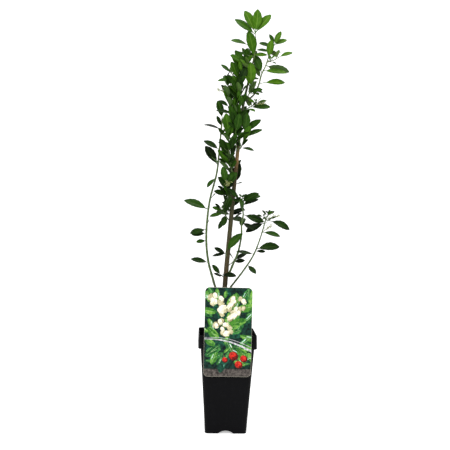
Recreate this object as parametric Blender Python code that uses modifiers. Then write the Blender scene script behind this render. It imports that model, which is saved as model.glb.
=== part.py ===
"""A young strawberry tree in a deep square nursery pot, with its picture card hung on the rim.

Metres, +Z up. The origin is the centre of the pot's flat underside, and the card hangs on the -Y side.
The sizes below are millimetres, and MM turns them into metres. A bearing is an angle round the vertical
in degrees: 0 is +X, 90 is the back (+Y), 180 is -X and 270 is the front. A rise is an angle above the
horizontal. Each piece keeps GAP to the pieces that it touches.
"""

import bisect
import math
import random
from typing import NamedTuple

import bmesh
import bpy
from mathutils import Matrix, Vector
from mathutils.bvhtree import BVHTree

MM = 0.001
GAP = 0.3
OBJECT_NAME = "potted_strawberry_tree"

# Pot: one thin moulded wall, with a wider collar round its top.
POT_HEIGHT = 219.0
POT_FOOT_WIDTH = 92.0
POT_SHOULDER_WIDTH = 119.0  # the body, where the collar starts
COLLAR_WIDTH = 130.0  # at its lower edge
RIM_WIDTH = 128.5  # at its top
COLLAR_HEIGHT = 29.5
SHOULDER = POT_HEIGHT - COLLAR_HEIGHT
POT_WALL = 1.3
BODY_TOP = SHOULDER + 8.0  # the body runs up inside the collar by this much
POT_FLOOR = 2.0
POT_CORNER_RADIUS = 8.0
ARCH_WIDTH = 34.0  # drain arch in the foot of each side
ARCH_HEIGHT = 6.5
ARCH_DEPTH = 22.0
ARCH_RADIUS = ((ARCH_WIDTH / 2) ** 2 + ARCH_HEIGHT**2) / (2 * ARCH_HEIGHT)
DRAIN_HOLE_DIAMETER = 7.0

COMPOST_LEVEL = 197.0
COMPOST_SHOULDER = SHOULDER + 4.0  # the tapered part of the compost ends here, inside the collar
GROUND = COMPOST_LEVEL + GAP

# Picture card: a plastic plate with a tongue welded on its back, which hooks behind the pot's rim.
CARD_WIDTH = 104.0
CARD_HEIGHT = 195.0
CARD_THICKNESS = 0.8
CARD_CORNER_RADIUS = 10.0
CARD_CENTRE_X = -0.5
CARD_FOOT = 130.5
CARD_BACK = -COLLAR_WIDTH / 2 - GAP
TONGUE_WIDTH = 32.0
TONGUE_REACH = 18.0  # below the top of the rim
TONGUE_TOP = 34.0  # above the rim, where the weld ends
TONGUE_BEND = 12.0  # above the rim, where the tongue leaves the card
TONGUE_SINK = 0.2  # how deep the weld goes into the card

# Trunk and leader, one line from the flat cut on the compost to the top bud.
TRUNK_LINE = (
    (-11, 3, GROUND), (-11, 3, 230), (-7, 1, 320), (3, -1, 465), (12, 0, 583), (24, 1, 720),
    (35, 0, 782), (48, -2, 844), (52, -1, 874), (50, -2, 901),
)
TRUNK_RADII = (5.7, 0.6)
TRUNK_TAPER = 2.4  # 1 is an even taper, and a higher one leaves more of it to the top
ROOT_FLARE = 3.2  # extra radius at the ground
ROOT_FLARE_HEIGHT = 11.0  # the flare falls to a third of itself over this height
FORK = 0.745  # the trunk ends and the leader starts, as a share of the line
LEADER_END = 0.915  # the bare leader ends and the top mass starts
TRUNK_SPACING = 22.0  # between the rings of the trunk
FOOT_CROWDING = 1.6  # how much closer its rings are at the flare
SHOOT_SPACING = 11.0  # between the rings of a bough or a stem

SEED = 1807
GOLDEN_ANGLE = 137.5
LEAF_THICKNESS = 0.9
LEAF_WIDTH_SHARE = 0.38  # of the leaf's length
LEAF_FOLD = 0.25  # how far the halves rise from the midrib, as a share of the half width
LEAF_DROOP = 0.07  # how far the tip hangs below a straight blade, as a share of the length
LEAF_TURN = (0.6, 1.5)  # how far upper faces turn from the sky to the light at the front or the back
# Share of the length, of the full half width and of the thickness. The first two are inside the twig.
LEAF_STATIONS = (
    (-0.012, 0.0, 0.0),
    (0.00, 0.08, 1.0),
    (0.15, 0.11, 1.0),
    (0.46, 0.96, 1.0),
    (0.80, 0.78, 0.9),
    (1.00, 0.0, 0.0),
)
BLADE_STATIONS = ((0.17, 0.0, 0.0),) + LEAF_STATIONS[3:]
ELBOW_ROOM = 0.6  # kept between a leaf and what isn't its own twig
TURNS = (0, 14, -14, 28, -28, 45, -45)  # other bearings tried where a leaf would touch something
STEEPEST = 70  # rise of a spray's side leaves, at most
SIDE_LEAF = 0.85  # length of a spray's side leaves, as a share of its end leaf
SIDE_LEAF_STEP = 0.25  # share of the twig between one side leaf and the next
FILLER_LENGTH = 40.0
FILLER_SIZES = (0.85, 1.1)  # of that length
FILLER_SPREAD = 50  # how far a filler's bearing strays from the front or the back
FILLER_RISE = (20, 72)
TWIG_RADIUS = 0.85
TWIG_TAPER = 0.85
TWIG_SAG = 0.10  # of its length, at its middle
SHORT_TWIG = 6.0  # a single leaf on a twig no longer than this sits on the stem itself
STALK_RADIUS = 0.55
BUD_RADIUS = 1.4
BUD_LENGTH = 0.30  # stalk and bud, as a share of the panicle
BUDS = 4  # on each panicle


class Shoot(NamedTuple):
    """A side shoot: its first stretch is a bare bough, and the rest is the stem of one leafy mass."""

    line: tuple  # the first point is inside the limb that it grows from
    radii: tuple  # at the foot and at the tip
    bare: float  # share of the line that is bough, or 0 where the leaves start at once
    sprays: tuple  # share along the stem, bearing, rise, twig length, leaves, leaf length
    fillers: int = 0  # leaves that fill the mass to the front and the back
    panicles: tuple = ()  # share along the stem, bearing, rise, length


SHOOTS = {
    "left": Shoot(
        ((-22, -5, GROUND), (-24, -1, 295), (-33, 0, 333), (-45, 1, 374), (-51, 0, 417), (-51, -2, 464),
         (-45, 0, 520), (-31, 3, 579), (-26, 4, 635), (-21, 4, 705)),
        (3.0, 1.7), 0.30,
        ((0.075, 180, 13, 3, 1, 38), (0.215, 205, -6, 3, 1, 22), (0.287, 200, -12, 4, 1, 36),
         (0.262, 214, -4, 4, 1, 31), (0.412, 182, 23, 5, 1, 54), (0.47, 285, 25, 3, 1, 34),
         (0.70, 180, 58, 4, 1, 49), (0.80, 174, 31, 4, 1, 38), (0.93, 184, 16, 5, 1, 36),
         (0.95, 215, 60, 3, 1, 23), (1.0, 176, 76, 3, 1, 40), (0.62, 205, -45, 3, 1, 28)),
        2,
    ),
    "right_low": Shoot(
        ((-8, 1, 295), (5, -5, 319), (33, -11, 358), (56, -12, 395), (71, -11, 435), (84, -10, 483)),
        (2.4, 1.2), 0.42,
        ((0.04, 312, -33, 4, 1, 28), (0.27, 180, 10, 5, 1, 37), (0.33, 356, 0, 3, 1, 20),
         (0.37, 2, 9, 6, 1, 48), (0.70, 356, -9, 4, 1, 38), (0.88, 186, -24, 6, 1, 42),
         (0.95, 2, -20, 10, 1, 50), (1.0, 60, 40, 4, 3, 20)),
        0,
        ((0.70, 10, 35, 24), (0.95, 352, 14, 28)),
    ),
    "middle": Shoot(
        ((-1, 0, 343), (10, -6, 372), (21, -10, 401), (28, -12, 440), (27, -12, 463), (31, -10, 490),
         (23, -9, 520)),
        (2.6, 1.4), 0.50,
        ((0.42, 350, -24, 4, 1, 30), (0.62, 2, -16, 4, 1, 46), (0.84, 8, 26, 4, 1, 38),
         (1.0, 4, 14, 5, 1, 43), (0.94, 330, 25, 4, 1, 44), (1.0, 176, 40, 5, 1, 34)),
        2,
    ),
    "trunk_low": Shoot(
        ((-2, 0, 387), (-5, -9, 393), (-7, -15, 401)), (1.2, 0.9), 0.0,
        ((0.5, 180, 30, 4, 1, 27), (0.7, 188, -9, 4, 1, 28), (1.0, 350, 52, 4, 1, 52)),
    ),
    "trunk_foot": Shoot(
        ((-6, 1, 340), (-13, -7, 345), (-17, -12, 349)), (1.2, 0.9), 0.0,
        ((0.5, 228, 15, 4, 1, 24), (0.8, 275, 10, 3, 1, 22), (1.0, 178, 50, 3, 1, 27),
         (0.9, 332, 2, 6, 1, 31)),
    ),
    "trunk_foot_back": Shoot(
        ((-4, 0, 367), (6, 9, 373), (14, 15, 381)), (1.2, 0.9), 0.0,
        ((0.6, 60, 8, 4, 1, 36), (0.8, 340, 8, 4, 1, 24), (1.0, 20, 30, 4, 1, 32),
         (1.0, 120, 36, 4, 1, 36)),
    ),
    "trunk_left": Shoot(
        ((2, -1, 469), (-6, -8, 479), (-15, -14, 493)), (1.4, 0.9), 0.0,
        ((0.4, 200, -55, 4, 1, 30), (0.6, 262, -40, 4, 1, 32), (0.8, 182, -12, 5, 1, 29),
         (1.0, 178, 22, 5, 1, 21), (1.0, 290, 50, 5, 2, 38)), 2,
    ),
    "trunk_back_low": Shoot(
        ((3, 0, 457), (6, 12, 473), (3, 22, 497)), (1.4, 0.9), 0.0,
        ((0.5, 60, -6, 5, 1, 44), (0.7, 130, 8, 5, 1, 44), (1.0, 90, 50, 8, 3, 42),
         (0.6, 8, 34, 4, 1, 32), (0.9, 352, 8, 4, 1, 32)), 3,
    ),
    "column_low": Shoot(
        ((6, -1, 505), (-2, -9, 521), (-9, -14, 550)), (1.4, 0.9), 0.0,
        ((0.45, 190, 18, 4, 1, 30), (0.7, 212, 52, 4, 1, 36), (1.0, 242, 66, 6, 2, 40),
         (1.0, 10, 55, 6, 1, 34)), 3,
        ((0.6, 300, 50, 24),),
    ),
    "column_back": Shoot(
        ((8, 1, 533), (12, 12, 550), (9, 18, 580)), (1.4, 0.9), 0.0,
        ((0.4, 60, 14, 4, 1, 28), (0.7, 120, 20, 4, 1, 44), (1.0, 120, 62, 8, 3, 42)), 3,
    ),
    "column_left": Shoot(
        ((12, -1, 571), (1, -9, 591), (-6, -12, 630), (-5, -12, 661)), (1.4, 0.9), 0.0,
        ((0.25, 210, 46, 4, 1, 42), (0.45, 190, 64, 4, 1, 44), (0.6, 330, 66, 4, 1, 42),
         (1.0, 215, 80, 4, 1, 50), (1.0, 20, 70, 5, 1, 44)), 4,
    ),
    "column_front": Shoot(
        ((16, 0, 626), (11, -12, 645), (8, -16, 685)), (1.3, 0.9), 0.0,
        ((0.35, 222, 58, 4, 1, 42), (0.7, 300, 72, 4, 1, 42), (1.0, 180, 76, 4, 1, 46),
         (1.0, 330, 58, 4, 1, 42)), 3,
    ),
    "column_top": Shoot(
        ((24, 0, 718), (17, -10, 734), (13, -12, 775), (18, -9, 812)), (1.4, 0.9), 0.0,
        ((0.2, 200, 62, 4, 1, 42), (0.35, 276, 70, 4, 1, 41), (0.5, 182, 58, 4, 1, 40),
         (0.62, 330, 66, 4, 1, 42), (0.78, 190, 66, 4, 1, 40), (1.0, 200, 62, 4, 1, 38),
         (0.95, 100, 70, 4, 1, 38)), 4,
    ),
    "column_right": Shoot(
        ((16, -1, 628), (26, -7, 646), (30, -8, 670)), (1.4, 0.9), 0.0,
        ((0.1, 350, -8, 5, 1, 26), (0.45, 318, 62, 4, 1, 38), (0.75, 4, 29, 5, 1, 42),
         (1.0, 2, 45, 4, 1, 46), (1.0, 250, 70, 5, 1, 44)), 1,
    ),
    "column_back_high": Shoot(
        ((18, 1, 652), (13, 13, 670), (15, 20, 705)), (1.4, 0.9), 0.0,
        ((0.4, 140, 12, 4, 1, 36), (0.7, 50, 26, 4, 1, 40), (1.0, 100, 60, 8, 3, 44)), 3,
    ),
    "upper_left": Shoot(
        ((22, 1, 696), (6, -3, 711), (-6, -3, 735), (-5, -2, 775), (1, 0, 805)), (1.6, 0.8), 0.0,
        ((0.18, 186, 12, 6, 1, 33), (0.36, 225, 70, 5, 1, 36), (0.5, 300, 36, 4, 1, 40),
         (0.62, 10, 50, 4, 1, 40), (0.91, 188, -8, 5, 1, 28), (1.0, 176, 42, 6, 3, 30)), 5,
        ((0.6, 182, 18, 27),),
    ),
    "upper_spur": Shoot(
        ((30, 1, 750), (38, -6, 758), (41, -8, 774)), (1.3, 0.9), 0.0,
        ((0.6, 330, 10, 4, 1, 28), (1.0, 262, 80, 4, 1, 54), (0.9, 200, 40, 4, 1, 34),
         (0.95, 12, -14, 4, 1, 26)), 2,
    ),
    "right_spray": Shoot(
        ((25, 0, 722), (36, -6, 728), (50, -9, 736)), (1.2, 0.8), 0.0,
        ((0.3, 255, -15, 4, 1, 28), (0.6, 2, 5, 5, 1, 42), (1.0, 20, 24, 5, 2, 28)), 1,
        ((0.9, 352, 10, 24),),
    ),
    "upper_right": Shoot(
        ((32, 1, 744), (51, -1, 762), (61, -2, 785), (66, -2, 807), (75, -1, 826), (81, 0, 846),
         (87, 1, 861), (94, 1, 875)),
        (2.1, 0.9), 0.22,
        ((0.18, 2, 7, 10, 1, 50), (0.26, 205, 8, 3, 1, 22), (0.38, 172, 68, 4, 1, 44),
         (0.44, 356, -2, 6, 1, 48), (0.56, 4, -7, 5, 1, 54), (0.64, 2, 23, 30, 4, 34),
         (0.78, 182, 2, 4, 1, 30), (0.85, 178, 10, 4, 1, 28), (0.95, 171, 22, 4, 1, 30),
         (1.0, 184, 68, 4, 1, 24), (1.0, 350, 66, 4, 1, 32), (1.0, 8, 29, 4, 1, 30)),
        2,
    ),
    "upper_back": Shoot(
        ((38, 0, 796), (38, 10, 810), (36, 16, 836)), (1.2, 0.8), 0.0,
        ((0.5, 150, 20, 4, 1, 40), (0.7, 60, 16, 4, 1, 40), (1.0, 90, 58, 6, 3, 40)), 2,
    ),
    "upper_front": Shoot(
        ((41, -1, 812), (32, -7, 818), (26, -9, 828)), (1.2, 0.8), 0.0,
        ((0.5, 268, 10, 4, 1, 34), (1.0, 182, 24, 6, 1, 34), (1.0, 200, 52, 5, 1, 32)), 1,
    ),
}
LEADER_SPRAYS = (
    (0.05, 212, 76, 4, 1, 58), (0.10, 184, 10, 16, 1, 30), (0.44, 172, 20, 18, 1, 42),
    (0.36, 240, 78, 4, 1, 42), (0.66, 168, 44, 5, 1, 26), (0.95, 182, 37, 4, 1, 54),
    (1.0, 178, 66, 4, 1, 53), (1.0, 310, 83, 4, 1, 50), (1.0, 2, 55, 4, 1, 53),
)
LEADER_FILLERS = 0

FINISHES = {  # colour, roughness
    "pot": ((0.009, 0.009, 0.010), 0.45),
    "compost": ((0.035, 0.022, 0.014), 0.95),
    "label": ((0.10, 0.30, 0.07), 0.30),
    "trunk": ((0.13, 0.08, 0.04), 0.80),
    "bough": ((0.14, 0.15, 0.05), 0.70),
    "foliage": ((0.05, 0.14, 0.02), 0.40),
}


# ---------------------------------------------------------------- scene and modifiers


def new_collection(name):
    collection = bpy.data.collections.new(name)
    bpy.context.scene.collection.children.link(collection)
    return collection


def add_object(name, mesh, collection):
    obj = bpy.data.objects.new(name, mesh)
    collection.objects.link(obj)
    return obj


def add_cutter(name, mesh, cutters):
    obj = add_object(name, mesh, cutters)
    obj.hide_render = True
    obj.display_type = "WIRE"
    return obj


def mesh_of(bm, name):
    mesh = bpy.data.meshes.new(name)
    bm.to_mesh(mesh)
    bm.free()
    return mesh


def evaluated_mesh(obj):
    """The object's mesh in world space, with its modifiers or its curve's bevel applied."""
    bpy.context.view_layer.update()
    mesh = bpy.data.meshes.new_from_object(obj.evaluated_get(bpy.context.evaluated_depsgraph_get()))
    mesh.transform(obj.matrix_world)
    return mesh


def finish(obj, finish_name):
    """Give an object its own material and smooth, sharp-cornered shading."""
    colour, roughness = FINISHES[finish_name]
    material = bpy.data.materials.new(obj.name)
    material.use_nodes = True
    shader = material.node_tree.nodes["Principled BSDF"]
    shader.inputs["Base Color"].default_value = (*colour, 1.0)
    shader.inputs["Roughness"].default_value = roughness
    shader.inputs["Metallic"].default_value = 0.0
    obj.data.materials.clear()
    obj.data.materials.append(material)
    obj.data.shade_smooth()
    obj.data.set_sharp_from_angle(angle=math.radians(35))


def boolean(obj, operation, other):
    modifier = obj.modifiers.new(f"{operation.lower()} {other.name}", "BOOLEAN")
    modifier.operation = operation
    modifier.solver = "EXACT"
    if isinstance(other, bpy.types.Collection):
        modifier.operand_type = "COLLECTION"
        modifier.collection = other
    else:
        modifier.object = other


# ---------------------------------------------------------------- pot, compost and card


def body_width(height):
    """Outer width of the pot's tapered body at a height."""
    return POT_FOOT_WIDTH + (POT_SHOULDER_WIDTH - POT_FOOT_WIDTH) * height / SHOULDER


def square_block(name, foot, top, foot_width, top_width, corner_radius):
    """A square block with rounded upright edges, whose width changes evenly from foot to top."""
    bm = bmesh.new()
    bmesh.ops.create_cube(bm, size=2.0)
    for vert in bm.verts:
        half = (top_width if vert.co.z > 0 else foot_width) / 2 * MM
        vert.co = Vector((vert.co.x * half, vert.co.y * half, (top if vert.co.z > 0 else foot) * MM))
    uprights = [e for e in bm.edges if abs(e.verts[0].co.z - e.verts[1].co.z) > MM]
    bmesh.ops.bevel(
        bm, geom=uprights, offset=corner_radius * MM, segments=3, profile=0.5, affect="EDGES"
    )
    return mesh_of(bm, name)


def arch_cutters(prefix, spread, cutters):
    """Four lying cylinders, one in the foot of each side, larger by spread than the drain arches."""
    collection = bpy.data.collections.new(prefix)
    cutters.children.link(collection)
    length = ARCH_DEPTH + 10.0
    for side in range(4):
        bm = bmesh.new()
        radius = (ARCH_RADIUS + spread) * MM
        bmesh.ops.create_cone(
            bm, cap_ends=True, segments=32, radius1=radius, radius2=radius, depth=length * MM
        )
        obj = add_cutter(f"{prefix}_{side + 1}", mesh_of(bm, prefix), collection)
        reach = POT_FOOT_WIDTH / 2 - ARCH_DEPTH - spread + length / 2
        outward = Matrix.Rotation(math.radians(90 * side), 4, "Z")
        lying = Matrix.Rotation(math.radians(90), 4, "Y")
        place = Matrix.Translation(Vector((reach, 0, ARCH_HEIGHT - ARCH_RADIUS)) * MM)
        obj.matrix_world = outward @ place @ lying
    return collection


def drain_hole_cutters(cutters):
    collection = bpy.data.collections.new("drain_holes")
    cutters.children.link(collection)
    for side in range(4):
        bm = bmesh.new()
        radius = DRAIN_HOLE_DIAMETER / 2 * MM
        bmesh.ops.create_cone(
            bm, cap_ends=True, segments=12, radius1=radius, radius2=radius, depth=4 * ARCH_HEIGHT * MM
        )
        obj = add_cutter(f"drain_hole_{side + 1}", mesh_of(bm, "drain_hole"), collection)
        reach = (POT_FOOT_WIDTH - ARCH_DEPTH) / 2
        obj.matrix_world = Matrix.Rotation(math.radians(90 * side), 4, "Z") @ Matrix.Translation(
            Vector((reach, 0, 0)) * MM
        )
    return collection


def make_pot(parts, cutters):
    """A body and a collar with one cavity, four drain arches with thin domes over them, and four holes."""
    body = square_block(
        "pot", 0.0, BODY_TOP, POT_FOOT_WIDTH, body_width(BODY_TOP), POT_CORNER_RADIUS
    )
    pot = add_object("pot", body, parts)
    collar = square_block(
        "collar", SHOULDER, POT_HEIGHT, COLLAR_WIDTH, RIM_WIDTH, POT_CORNER_RADIUS
    )
    boolean(pot, "UNION", add_cutter("collar", collar, cutters))

    inner_radius = POT_CORNER_RADIUS - POT_WALL
    cavity = square_block(
        "cavity",
        POT_FLOOR,
        BODY_TOP,
        body_width(POT_FLOOR) - 2 * POT_WALL,
        body_width(BODY_TOP) - 2 * POT_WALL,
        inner_radius,
    )
    opening = RIM_WIDTH - 2 * POT_WALL
    inner_collar = square_block(
        "inner_collar", SHOULDER + POT_WALL, POT_HEIGHT + POT_WALL, opening, opening, inner_radius
    )
    cavity = add_cutter("cavity", cavity, cutters)
    boolean(cavity, "UNION", add_cutter("inner_collar", inner_collar, cutters))
    boolean(cavity, "DIFFERENCE", arch_cutters("dome", POT_WALL, cutters))
    boolean(pot, "DIFFERENCE", cavity)
    boolean(pot, "DIFFERENCE", arch_cutters("arch", 0.0, cutters))
    boolean(pot, "DIFFERENCE", drain_hole_cutters(cutters))
    finish(pot, "pot")


def make_compost(parts, cutters):
    """Compost that fills the cavity, clear of the wall, the floor and the domes."""
    inset = 2 * (POT_WALL + GAP)
    radius = POT_CORNER_RADIUS - POT_WALL - GAP
    foot = POT_FLOOR + GAP
    block = square_block(
        "compost",
        foot,
        COMPOST_SHOULDER,
        body_width(foot) - inset,
        body_width(COMPOST_SHOULDER) - inset,
        radius,
    )
    compost = add_object("compost", block, parts)
    width = RIM_WIDTH - inset
    upper = square_block(
        "upper_compost", SHOULDER + POT_WALL + GAP, COMPOST_LEVEL, width, width, radius
    )
    boolean(compost, "UNION", add_cutter("upper_compost", upper, cutters))
    boolean(compost, "DIFFERENCE", arch_cutters("compost_arch", POT_WALL + GAP, cutters))
    finish(compost, "compost")


def make_card(parts, cutters):
    """A round-cornered plate in front of the collar, and the tongue that hooks behind its wall."""
    half_width = CARD_WIDTH / 2
    half_height = CARD_HEIGHT / 2
    outline = []
    for quarter, (sx, sy) in enumerate(((1, 1), (-1, 1), (-1, -1), (1, -1))):
        centre = (sx * (half_width - CARD_CORNER_RADIUS), sy * (half_height - CARD_CORNER_RADIUS))
        for step in range(7):
            angle = math.radians(90 * quarter + 15 * step)
            outline.append(
                (centre[0] + CARD_CORNER_RADIUS * math.cos(angle),
                 centre[1] + CARD_CORNER_RADIUS * math.sin(angle))
            )
    curve = bpy.data.curves.new("card", "CURVE")
    curve.dimensions = "2D"
    curve.fill_mode = "BOTH"
    curve.extrude = CARD_THICKNESS / 2 * MM
    spline = curve.splines.new("POLY")
    spline.points.add(len(outline) - 1)
    for point, (x, y) in zip(spline.points, outline):
        point.co = (x * MM, y * MM, 0.0, 1.0)
    spline.use_cyclic_u = True
    flat = add_object("card", curve, parts)
    centre = Vector((CARD_CENTRE_X, CARD_BACK - CARD_THICKNESS / 2, CARD_FOOT + half_height)) * MM
    flat.matrix_world = Matrix.Translation(centre) @ Matrix.Rotation(math.radians(90), 4, "X")
    mesh = evaluated_mesh(flat)
    bpy.data.objects.remove(flat)
    weld_caps(mesh)
    label = add_object("label", mesh, parts)

    weld = CARD_BACK + CARD_THICKNESS / 2 - TONGUE_SINK
    behind = -RIM_WIDTH / 2 + POT_WALL + GAP + CARD_THICKNESS
    path = (
        (weld, POT_HEIGHT + TONGUE_TOP),
        (weld, POT_HEIGHT + TONGUE_BEND),
        (behind, POT_HEIGHT + CARD_THICKNESS),
        (behind, POT_HEIGHT - TONGUE_REACH),
    )
    bm = bmesh.new()
    rows = [
        [bm.verts.new(Vector((CARD_CENTRE_X + side * TONGUE_WIDTH / 2, y, z)) * MM) for side in (-1, 1)]
        for y, z in path
    ]
    for upper, lower in zip(rows, rows[1:]):
        bm.faces.new((upper[0], lower[0], lower[1], upper[1]))
    tongue = add_cutter("tongue", mesh_of(bm, "tongue"), cutters)
    wall = tongue.modifiers.new("thickness", "SOLIDIFY")
    wall.thickness = CARD_THICKNESS * MM
    wall.offset = 0.0
    boolean(label, "UNION", tongue)
    finish(label, "label")


# ---------------------------------------------------------------- limbs


class Limb:
    """A smooth line through a few points, with the radius of the limb along it."""

    def __init__(self, points, radii, flare=0.0, taper=1.0, span=(0.0, 1.0)):
        self.points = [Vector(p) for p in points]
        self.radii = radii
        self.flare = flare
        self.taper = taper
        self.span = span  # the shares of the whole limb that this stretch of it runs between
        self.places = [0.0]
        for a, b in zip(self.points, self.points[1:]):
            self.places.append(self.places[-1] + (b - a).length)
        self.length = self.places[-1]

    @classmethod
    def through(cls, points, radii, flare=0.0, taper=1.0, steps=8):
        """Fill in a Catmull-Rom curve between the points."""
        p = [Vector(q) for q in points]
        p = [p[0] * 2 - p[1]] + p + [p[-1] * 2 - p[-2]]
        line = []
        for i in range(1, len(p) - 2):
            for k in range(steps):
                t = k / steps
                line.append(
                    0.5 * (2 * p[i] + (p[i + 1] - p[i - 1]) * t
                           + (2 * p[i - 1] - 5 * p[i] + 4 * p[i + 1] - p[i + 2]) * t**2
                           + (3 * p[i] - p[i - 1] - 3 * p[i + 1] + p[i + 2]) * t**3)
                )
        return cls(line + [p[-2]], radii, flare, taper)

    def at(self, share):
        place = min(max(share, 0.0), 1.0) * self.length
        i = min(max(bisect.bisect_right(self.places, place) - 1, 0), len(self.points) - 2)
        t = (place - self.places[i]) / (self.places[i + 1] - self.places[i])
        return self.points[i].lerp(self.points[i + 1], t)

    def ahead(self, share):
        return (self.at(share + 0.02) - self.at(share - 0.02)).normalized()

    def radius(self, share):
        foot, tip = self.radii
        low, high = self.span
        flare = self.flare * math.exp(-share * self.length / ROOT_FLARE_HEIGHT)
        return foot + (tip - foot) * (low + (high - low) * share) ** self.taper + flare

    def part(self, start, end, spacing, crowding=1.0):
        """The stretch between two shares, with a point about every spacing, closer at a crowded start."""
        count = max(2, round((end - start) * self.length / spacing))
        shares = [start + (end - start) * (i / count) ** crowding for i in range(count + 1)]
        low, high = self.span
        span = (low + (high - low) * start, low + (high - low) * end)
        flare = 0.0 if start else self.flare
        return Limb([self.at(s) for s in shares], self.radii, flare, self.taper, span)

    def distance(self, point):
        """How far a point is from the limb's surface."""
        nearest = math.inf
        for a, b, place in zip(self.points, self.points[1:], self.places):
            along = min(1.0, max(0.0, (point - a).dot(b - a) / (b - a).length_squared))
            radius = self.radius((place + along * (b - a).length) / self.length)
            nearest = min(nearest, (point - a.lerp(b, along)).length - radius)
        return nearest

    def comes_out_of(self, carrier):
        """The share of the length at which this limb is wholly outside the one that it grows from."""
        steps = 300
        for i in range(steps):
            if carrier.distance(self.at(i / steps)) > self.radius(i / steps) + GAP:
                return i / steps
        raise ValueError("a limb never leaves its carrier")


def weld_caps(mesh):
    bm = bmesh.new()
    bm.from_mesh(mesh)
    bmesh.ops.remove_doubles(bm, verts=bm.verts, dist=0.00001)
    bmesh.ops.recalc_face_normals(bm, faces=bm.faces)
    bm.to_mesh(mesh)
    bm.free()


def tube_mesh(name, limb, bevel_resolution):
    """The limb as a closed tapered tube, which a bevel resolution r gives 4 + 2r sides."""
    curve = bpy.data.curves.new(name, "CURVE")
    curve.dimensions = "3D"
    curve.bevel_depth = MM
    curve.bevel_resolution = bevel_resolution
    curve.use_fill_caps = True
    spline = curve.splines.new("POLY")
    spline.points.add(len(limb.points) - 1)
    for point, place, co in zip(spline.points, limb.places, limb.points):
        point.co = (*(co * MM), 1.0)
        point.radius = limb.radius(place / limb.length)
    obj = add_object(name, curve, bpy.context.scene.collection)
    mesh = evaluated_mesh(obj)
    bpy.data.objects.remove(obj)
    bpy.data.curves.remove(curve)
    weld_caps(mesh)
    return mesh


def flatten_foot(mesh):
    """Lay the lowest ring of an upright limb flat at ground level."""
    lowest = min(v.co.z for v in mesh.vertices)
    for vert in mesh.vertices:
        if vert.co.z < lowest + 2.0 * MM:
            vert.co.z = GROUND * MM


def tree_of(mesh):
    bm = bmesh.new()
    bm.from_mesh(mesh)
    tree = BVHTree.FromBMesh(bm)
    bm.free()
    return tree


def trunk_limb():
    return Limb.through(TRUNK_LINE, TRUNK_RADII, ROOT_FLARE, TRUNK_TAPER)


def make_limbs(parts, trunk):
    """The trunk, the leader and the bare boughs. Returns the search trees that leaves keep clear of."""
    gap = GAP / trunk.length
    spans = {"trunk": (0.0, FORK), "leader_bough": (FORK + gap, LEADER_END)}
    trees = []
    for name, (start, end) in spans.items():
        rooted = start == 0.0
        piece = trunk.part(start, end, TRUNK_SPACING, FOOT_CROWDING if rooted else 1.0)
        mesh = tube_mesh(name, piece, 3 if rooted else 1)
        if rooted:
            flatten_foot(mesh)
        finish(add_object(name, mesh, parts), "trunk" if rooted else "bough")
        trees.append(tree_of(mesh))
    for name, shoot in SHOOTS.items():
        if not shoot.bare:
            continue
        line = Limb.through(shoot.line, shoot.radii)
        basal = shoot.line[0][2] == GROUND
        start = 0.0 if basal else line.comes_out_of(trunk)
        mesh = tube_mesh(f"{name}_bough", line.part(start, shoot.bare, SHOOT_SPACING), 1)
        if basal:
            flatten_foot(mesh)
        finish(add_object(f"{name}_bough", mesh, parts), "bough")
        trees.append(tree_of(mesh))
    return trees


# ---------------------------------------------------------------- leaves


def heading(bearing, rise):
    b, r = math.radians(bearing), math.radians(rise)
    return Vector((math.cos(b) * math.cos(r), math.sin(b) * math.cos(r), math.sin(r)))


def leaf_face(ahead, turn):
    """The way that a leaf's upper face looks: up, and out to the front, or to the back on the back half."""
    light = Vector((0, turn if ahead.y > 0.3 else -turn, 1))
    return (light - ahead * ahead.dot(light)).normalized()


def leaf_mesh(stations, root, ahead, face, length, margin=0.0):
    """A leaf as a four-sided body. It is a sphere whose poles are its ends and whose rings its stations."""
    last = len(stations) - 1
    across = ahead.cross(face)
    half = LEAF_WIDTH_SHARE * length / 2
    bm = bmesh.new()
    bmesh.ops.create_uvsphere(bm, u_segments=4, v_segments=last, radius=1.0)
    for vert in bm.verts:
        turn = math.acos(min(1.0, max(-1.0, -vert.co.z))) / math.pi
        along, width, thickness = stations[round(turn * last)]
        ring = math.hypot(vert.co.x, vert.co.y) or 1.0
        side = round(vert.co.x / ring)
        up = round(vert.co.y / ring)
        x = side * (width * half + margin)
        y = along * length
        z = abs(side) * LEAF_FOLD * width * half - LEAF_DROOP * length * max(0.0, along) ** 2
        z += up * (thickness * LEAF_THICKNESS / 2 + margin)
        vert.co = (root + across * x + ahead * y + face * z) * MM
    bmesh.ops.recalc_face_normals(bm, faces=bm.faces)
    return mesh_of(bm, "leaf")


def bud_mesh(root, ahead, length):
    """A flower bud on its stalk, as a three-sided spindle that is thickest near its tip."""
    turn = Vector((0, 0, 1)).rotation_difference(ahead).to_matrix()
    bm = bmesh.new()
    bmesh.ops.create_uvsphere(bm, u_segments=3, v_segments=3, radius=1.0)
    for vert in bm.verts:
        ring = math.hypot(vert.co.x, vert.co.y)
        if ring > 0.1:
            along, radius = (0.05, STALK_RADIUS) if vert.co.z < 0 else (0.85, BUD_RADIUS)
            local = Vector((vert.co.x / ring * radius, vert.co.y / ring * radius, along * length))
        else:
            local = Vector((0, 0, length if vert.co.z > 0 else -STALK_RADIUS))
        vert.co = (root + turn @ local) * MM
    bmesh.ops.recalc_face_normals(bm, faces=bm.faces)
    return mesh_of(bm, "bud")


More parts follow.
